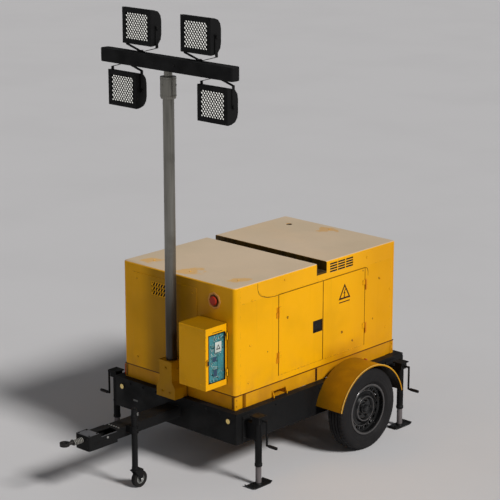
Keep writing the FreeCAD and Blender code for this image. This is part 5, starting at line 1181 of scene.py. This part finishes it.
def wheel_details(name, side):
    """Bright rings and nubs on the rim, the hub's fittings, the wheel studs and the valve."""
    low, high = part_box(f"tyre_{name}")
    centre, out, body = (low + high) / 2, side * X, f"wheel_{name}_body"
    rings, nubs, hub, studs = Shape(), Shape(), Shape(), Shape()
    rings.lathe(centre, out, [(0.1885, 0.0705), (0.2020, 0.0705), (0.2040, 0.0690), (0.2040, 0.0665),
                              (0.2000, 0.0685), (0.1885, 0.0685)], 96)
    for profile in ([(0.1745, 0.0225), (0.1765, 0.0285), (0.1800, 0.0285), (0.1825, 0.0225)],
                    [(0.1380, 0.0195), (0.1400, 0.0262), (0.1440, 0.0262), (0.1470, 0.0195)],
                    [(0.0915, 0.0435), (0.0935, 0.0468), (0.1000, 0.0468), (0.1030, 0.0435)]):
        rings.lathe(centre, out, profile, 96)
    piece(f"rim_rings_{name}", rings, RIM_EDGE, body)
    for turn in turns(18, 0.5):
        nubs.rod(about_x(centre, turn, 0.150, side * 0.024), about_x(centre, turn, 0.173, side * 0.025),
                 0.0062, 0.0045, 12, 0.0008)
    piece(f"rim_nubs_{name}", nubs, RIM_EDGE, body)
    hub.lathe(centre, out, [(0.0, 0.0545), (0.012, 0.0540), (0.022, 0.0525), (0.0235, 0.0512), (0.0, 0.0512)])
    hub.lathe(centre, out, [(0.0345, 0.0375), (0.0360, 0.0400), (0.0415, 0.0400), (0.0435, 0.0375)])
    piece(f"hub_fittings_{name}", hub, WHEEL_BLACK, body=body)
    for turn in turns(5):
        place = about_x(centre, turn, 0.061, side * 0.0395)
        studs.rod(place, place + out * 0.006, 0.0055, 0.0048, 16, 0.0008)
    piece(f"wheel_studs_{name}", studs, FORGED, body)
    stem = centre + Vector((side * 0.024, 0, 0.186))
    valve = Shape().rod(stem, stem + Vector((side * 0.032, 0, -0.014)), 0.0042, 0.0036, 12, 0.0005)
    piece(f"valve_{name}", valve, RUBBER, body=body)


# ---------------------------------------------------------------- jacks

def jack_details():
    """Cap bolts and collars on the jack housings, the feet's pads and the cranks' grips."""
    caps, bolts = Shape(), Shape()
    crank_z = 0.334
    for end, y in JACK_LINES.items():
        for name, side in SIDES.items():
            x = side * 0.764
            for dx in (-0.034, 0.034):
                for dy in (-0.034, 0.034):
                    bolts.bolt((x + dx, y + dy, 0.548), Z, 0.0055)
            caps.lathe((x, y, 0.0), Z, [(0.0262, 0.151), (0.0290, 0.153), (0.0290, 0.172), (0.0262, 0.176)],
                       40)
            caps.lathe((side * 0.798, y, 0.516), side * X, [(0.0083, 0.0), (0.0083, 0.006), (0.017, 0.006),
                                                            (0.019, 0.0)], 32)
            caps.rod((x, y - 0.0255, 0.30), (x, y - 0.0345, 0.30), 0.006, sides=16, bevel=0.0012)
            pad = Shape().lathe((x, y, 0.0), Z, [(0.0224, 0.0075), (0.0224, 0.016), (0.0235, 0.016),
                                                 (0.0300, 0.0085)], 32)
            for dy in (-0.055, 0.055):
                pad.bolt((x, y + dy, 0.008), Z, 0.007)
            piece(f"jack_foot_{end}_{name}", pad, BLACK, body=f"jack_leg_{end}_{name}_body")
            start, stop = side * 0.868, side * 0.9465
            grip = Shape().rod((start, y, crank_z), (stop, y, crank_z), 0.0118, bevel=0.002)
            for i in range(5):
                at = start + (stop - start) * (0.15 + 0.17 * i)
                grip.lathe((at, y, crank_z), X, [(0.0116, -0.002), (0.0126, 0.0), (0.0116, 0.002)], 24)
            piece(f"crank_grip_{end}_{name}", grip, BLACK_PLASTIC, body=f"jack_crank_{end}_{name}_body")
    piece("jack_collars", caps, BLACK)
    piece("jack_cap_bolts", bolts, BLACK)


# ---------------------------------------------------------------- mast and lamps

def mast_details():
    """The bracket's bolts and band, the rings and screws at the mast's top, and the crossbar's bolts."""
    low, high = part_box("mast_bracket")
    half_x, y_mid, lip = 0.065, (low.y + high.y) / 2, 0.004
    bracket, collar, bar = Shape(), Shape(), Shape()
    for side in SIDES.values():
        bracket.bolt((side * 0.040, low.y, 0.60), -Y, 0.009)
        bracket.bolt((side * half_x, y_mid, 0.78), side * X, 0.008)
    bracket.bolt((0, low.y, 0.79), -Y, 0.010)
    bracket.frame((-half_x - lip, low.y - lip, 0.835), (half_x + lip, high.y + lip, 0.848), 2, 0.0045, 0.001)
    piece("bracket_fittings", bracket, PAINT)
    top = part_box("mast_outer_tube")[1].z
    for z in (2.860, top - 0.014):
        collar.lathe((0, y_mid, z), Z, [(0.0588, -0.004), (0.0606, -0.002), (0.0606, 0.002), (0.0588, 0.004)],
                     64)
    for turn in turns(3):
        out = Vector((math.cos(turn + 0.5), math.sin(turn + 0.5), 0))
        collar.bolt(Vector((0, y_mid, top - 0.060)) + out * 0.0588, out, 0.006)
    piece("mast_rings", collar, MAST, body="mast")
    low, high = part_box("mast_crossbar")
    for x in (-0.10, 0.10):
        for y, out in ((low.y, -Y), (high.y, Y)):
            bar.bolt((x, y, (low.z + high.z) / 2), out, 0.008)
    piece("crossbar_fittings", bar, BLACK, body="mast_extension")


def lens_cells(shape, centre, plane, half_w, half_h, step_x, step_z):
    """Rows of small eight-sided lens cells that lie along the wire guard's lines."""
    along = Vector((step_x / 2, 0, -step_z)).normalized()
    across = Vector((-along.z, 0, along.x))
    long_half, wide_half, rise, base_drop, taper, corners = 0.0094, 0.0054, 0.0022, 0.0012, 0.6, 8
    long_way, wide_way = along * long_half, across * wide_half
    rim = [long_way * math.cos(turn) + wide_way * math.sin(turn) for turn in turns(corners)]
    for row in range(int(2 * half_h / step_z)):
        for column in range(int(2 * half_w / step_x)):
            x = -half_w + step_x * (column + 0.35 + (row % 2) / 2)
            if x + long_half > half_w:
                continue
            middle = Vector((centre.x + x, plane - base_drop, centre.z - half_h + step_z * (row + 0.5)))
            places = [middle + out for out in rim] + [middle + out * taper - Y * rise for out in rim]
            verts = [shape.mesh.verts.new(place) for place in places]
            shape.mesh.faces.new(verts[corners:])
            shape.mesh.faces.new(verts[:corners][::-1])
            for i in range(corners):
                k = (i + 1) % corners
                shape.mesh.faces.new((verts[i], verts[k], verts[corners + k], verts[corners + i]))
    bmesh.ops.recalc_face_normals(shape.mesh, faces=shape.mesh.faces[:])


def lamp(tag):
    """The lit face of one floodlight: lens cells behind a crossed wire guard, and the housing's screws."""
    low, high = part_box(f"lamp_head_{tag}")
    centre, body = (low + high) / 2, f"lamp_{tag}"
    plane, half_w, half_h, step_x, step_z = low.y + 0.010, 0.118, 0.099, 0.0262, 0.0164

    def at(x, y, z):
        return (centre.x + x, y, centre.z + z)
    backing, cells, wires = Shape(), Shape(), Shape()
    backing.block(at(-half_w, plane - 0.0012, -half_h), at(half_w, plane - 0.0001, half_h))
    lens_cells(cells, centre, plane, half_w, half_h, step_x, step_z)
    slope = step_z / (step_x / 2)
    first = -half_w - half_h / slope
    for sign in (-1, 1):
        for i in range(int(-2 * first / step_x) + 1):
            line = clipped_line(first + step_x * (i + 0.85), sign * slope, half_w, half_h)
            if line:
                wires.rod(*(at(x, plane - 0.0048, z) for x, z in line), 0.0009, sides=6)
    piece(f"lamp_backing_{tag}", backing, BLACK_PLASTIC, body=body)
    piece(f"lamp_cells_{tag}", cells, LED, body)
    piece(f"lamp_guard_{tag}", wires, BLACK, body=body)
    trim = Shape().frame(at(-half_w, low.y - 0.0015, -half_h), at(half_w, low.y + 0.009, half_h), 1, 0.004,
                         0.001)
    for dx in (-0.134, 0.134):
        for dz in (-0.116, 0.116):
            trim.bolt(at(dx, low.y, dz), -Y, 0.0048, domed=True)
    piece(f"lamp_trim_{tag}", trim, LAMP_BLACK, body)


def clipped_line(foot, slope, half_w, half_h):
    """The ends, in a rectangle, of a slanted line that crosses the middle height at foot; None if short."""
    points = [(x, slope * (x - foot)) for x in (-half_w, half_w) if abs(slope * (x - foot)) <= half_h]
    points += [(foot + z / slope, z) for z in (-half_h, half_h) if abs(foot + z / slope) < half_w]
    points.sort()
    shortest = 0.004
    if len(points) < 2 or math.dist(points[0], points[-1]) < shortest:
        return None
    return points[0], points[-1]


# ---------------------------------------------------------------- generating set

def engine_details():
    """Fittings of the generating set inside the canopy."""
    front, rear, shaft = 0.640, 1.140, SHAFT_Z
    head, pipes = Shape(), Shape()
    for i in range(4):
        y = front + 0.06 + 0.11 * i
        head.rod((-0.04, y, shaft + 0.300), (-0.04, y, shaft + 0.318), 0.018, sides=28, bevel=0.003)
        head.bolt((0.05, y, shaft + 0.300), Z, 0.009)
    for i in range(5):
        for side in SIDES.values():
            head.bolt((side * 0.095, front + 0.04 + 0.10 * i, shaft + 0.250), Z, 0.009)
    piece("engine_head_fittings", head, BRIGHT)
    for i in range(4):
        y = front + 0.07 + 0.11 * i
        pipes.hose([(0.166, y - 0.03, shaft + 0.06), (0.190, y - 0.02, shaft + 0.12),
                    (0.150, y, shaft + 0.19), (0.112, y, shaft + 0.215)], 0.0045, 10)
    piece("fuel_lines", pipes, BRIGHT)
    pump = Shape().block((0.1655, front + 0.05, shaft - 0.01), (0.205, rear - 0.15, shaft + 0.065), 0.006)
    piece("injection_pump", pump, ALLOY)
    hoses = Shape()
    hoses.hose([(0.06, rear - 0.06, shaft + 0.24), (0.11, rear + 0.03, shaft + 0.29),
                (0.16, rear + 0.12, shaft + 0.31), (0.15, 1.288, shaft + 0.35)], 0.021, 16)
    hoses.hose([(-0.166, rear - 0.08, shaft - 0.02), (-0.205, rear + 0.04, shaft - 0.06),
                (-0.22, rear + 0.12, shaft - 0.12), (-0.20, 1.299, shaft - 0.155)], 0.021, 16)
    piece("coolant_hoses", hoses, RUBBER)
    filters = Shape().lathe((0.0, front + 0.130, shaft + 0.020), X,
                            [(0.0, 0.2452), (0.044, 0.2452), (0.0462, 0.241), (0.0462, 0.175),
                             (0.0440, 0.170), (0.0, 0.170)], 40)
    piece("oil_filter_shell", filters, FILTER_PAINT)
    cleaner = Shape()
    for y in (front + 0.05, front + 0.16, front + 0.29):
        cleaner.lathe((-0.190, y, shaft + 0.330), Y, [(0.0848, -0.006), (0.0870, -0.003), (0.0870, 0.003),
                                                      (0.0848, 0.006)])
    piece("air_cleaner_bands", cleaner, BRIGHT)
    pulley = Shape().lathe((0, rear + 0.028, shaft), Y, [(0.0285, -0.012), (0.070, -0.012), (0.060, 0.0),
                                                         (0.070, 0.012), (0.0285, 0.012)])
    piece("crank_pulley", pulley, MAST)

    low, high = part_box("radiator")
    fins = Shape()
    for i in range(40):
        z = shaft - 0.13 + 0.0105 * i
        fins.block((-0.223, 1.3155, z), (0.223, 1.3445, z + 0.0018))
    for i in range(17):
        x = -0.216 + 0.027 * i
        fins.block((x - 0.0015, 1.3135, shaft - 0.138), (x + 0.0015, 1.3465, shaft + 0.298))
    piece("radiator_fins", fins, RADIATOR)
    cap = Shape().lathe((0.150, low.y + 0.04, high.z - 0.004), Z,
                        [(0.0, 0.0), (0.034, 0.0), (0.034, 0.008), (0.028, 0.013), (0.0, 0.013)], 32)
    piece("radiator_cap", cap, BRIGHT)
    ribs = Shape()
    for turn in turns(14):
        start = Vector((0.1655 * math.cos(turn), 0.225, shaft + 0.1655 * math.sin(turn)))
        ribs.rod(start, start + Y * 0.27, 0.005, sides=8)
    piece("alternator_ribs", ribs, ALLOY)

    terminals, plugs = Shape(), Shape()
    for x in (0.265, 0.395):
        terminals.rod((x, -0.266, 0.868), (x, -0.266, 0.876), 0.013, sides=20, bevel=0.002)
    piece("battery_terminals", terminals, BRIGHT)
    cable = Shape().hose([(0.265, -0.262, 0.874), (0.240, -0.18, 0.895), (0.200, -0.02, 0.88),
                          (0.120, 0.19, 0.84)],
                         0.007)
    piece("battery_cable", cable, RED_PLASTIC)
    for x in (0.270, 0.330, 0.390):
        plugs.rod((x, -0.150, 0.851), (x, -0.150, 0.857), 0.014, bevel=0.002)
    piece("battery_plugs", plugs, GREY_PLASTIC)
    filler = Shape().lathe((-0.380, -0.246, 0.951), Z,
                           [(0.0, 0.012), (0.036, 0.012), (0.043, 0.007), (0.043, -0.016),
                            (0.0405, -0.016), (0.0405, 0.0), (0.0, 0.0)], 40)
    piece("fuel_cap", filler, RED_PLASTIC)
    lip = Shape().lathe((-0.379, 1.317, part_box("exhaust_silencer")[1].z), Z,
                        [(0.0213, -0.010), (0.0213, 0.0008), (0.0246, 0.0008), (0.0250, -0.010)])
    piece("exhaust_lip", lip, SILENCER)


# ---------------------------------------------------------------- floor, light and camera

def soft_sun(name, towards, strength, spread, colour):
    """A sun with soft shadows, at the far end of a direction."""
    data = bpy.data.lights.new(name, "SUN")
    data.energy = strength
    data.angle = math.radians(spread)
    data.color = colour
    light = bpy.data.objects.new(name, data)
    light.rotation_euler = (-Vector(towards)).to_track_quat("-Z", "Y").to_euler()
    bpy.context.scene.collection.objects.link(light)


def studio():
    """A plain floor just under the tyres, a dim even sky and two soft suns."""
    size = 60.0
    mesh = bpy.data.meshes.new("floor")
    mesh.from_pydata([(-size, -size, 0), (size, -size, 0), (size, size, 0), (-size, size, 0)], [],
                     [(0, 1, 2, 3)])
    mesh.materials.append(floor_finish())
    floor = bpy.data.objects.new("floor", mesh)
    bpy.context.scene.collection.objects.link(floor)
    floor.location.z = -0.0008

    world = bpy.data.worlds.new("studio")
    bpy.context.scene.world = world
    world.use_nodes = True
    background = world.node_tree.nodes["Background"]
    background.inputs["Color"].default_value = (0.95, 0.97, 1.0, 1)
    background.inputs["Strength"].default_value = 0.13
    soft_sun("key", (0.78, 0.0, 0.62), 2.85, 14, (1.0, 0.985, 0.96))
    soft_sun("fill", (-0.5, -0.8, 0.35), 0.16, 40, (0.95, 0.97, 1.0))


def camera():
    """The viewing angle: right-hand front three-quarter view from above, with a long lens."""
    data = bpy.data.cameras.new("camera")
    data.lens = 130.97
    data.sensor_width = 36.0
    data.clip_end = 200
    cam = bpy.data.objects.new("camera", data)
    target = Vector((0.1548, 0.2653, 1.5840))
    azimuth, pitch, distance = math.radians(42.82), math.radians(15.31), 13.9126
    back = Vector((math.sin(azimuth) * math.cos(pitch), -math.cos(azimuth) * math.cos(pitch),
                   math.sin(pitch)))
    cam.location = target + back * distance
    cam.rotation_euler = (-back).to_track_quat("-Z", "Y").to_euler()
    bpy.context.scene.collection.objects.link(cam)
    bpy.context.scene.camera = cam


def build():
    """Makes everything, one group of pieces after another."""
    dress_nodes()
    canopy_bolts()
    louvres()
    gaskets()
    vent_grille()
    rear_grille()
    for name, side in SIDES.items():
        door_details(name, side)
        hinge_screws(name, side)
        tyre(name)
        wheel_details(name, side)
    emergency_stop()
    control_box()
    skid_details()
    chassis_details()
    guard_details()
    drawbar_details()
    hitch_sleeve()
    jockey_details()
    jack_details()
    mast_details()
    for tag in ("upper_left", "upper_right", "lower_left", "lower_right"):
        lamp(tag)
    engine_details()
    studio()
    camera()
    bpy.context.scene.view_settings.view_transform = "Standard"


build()
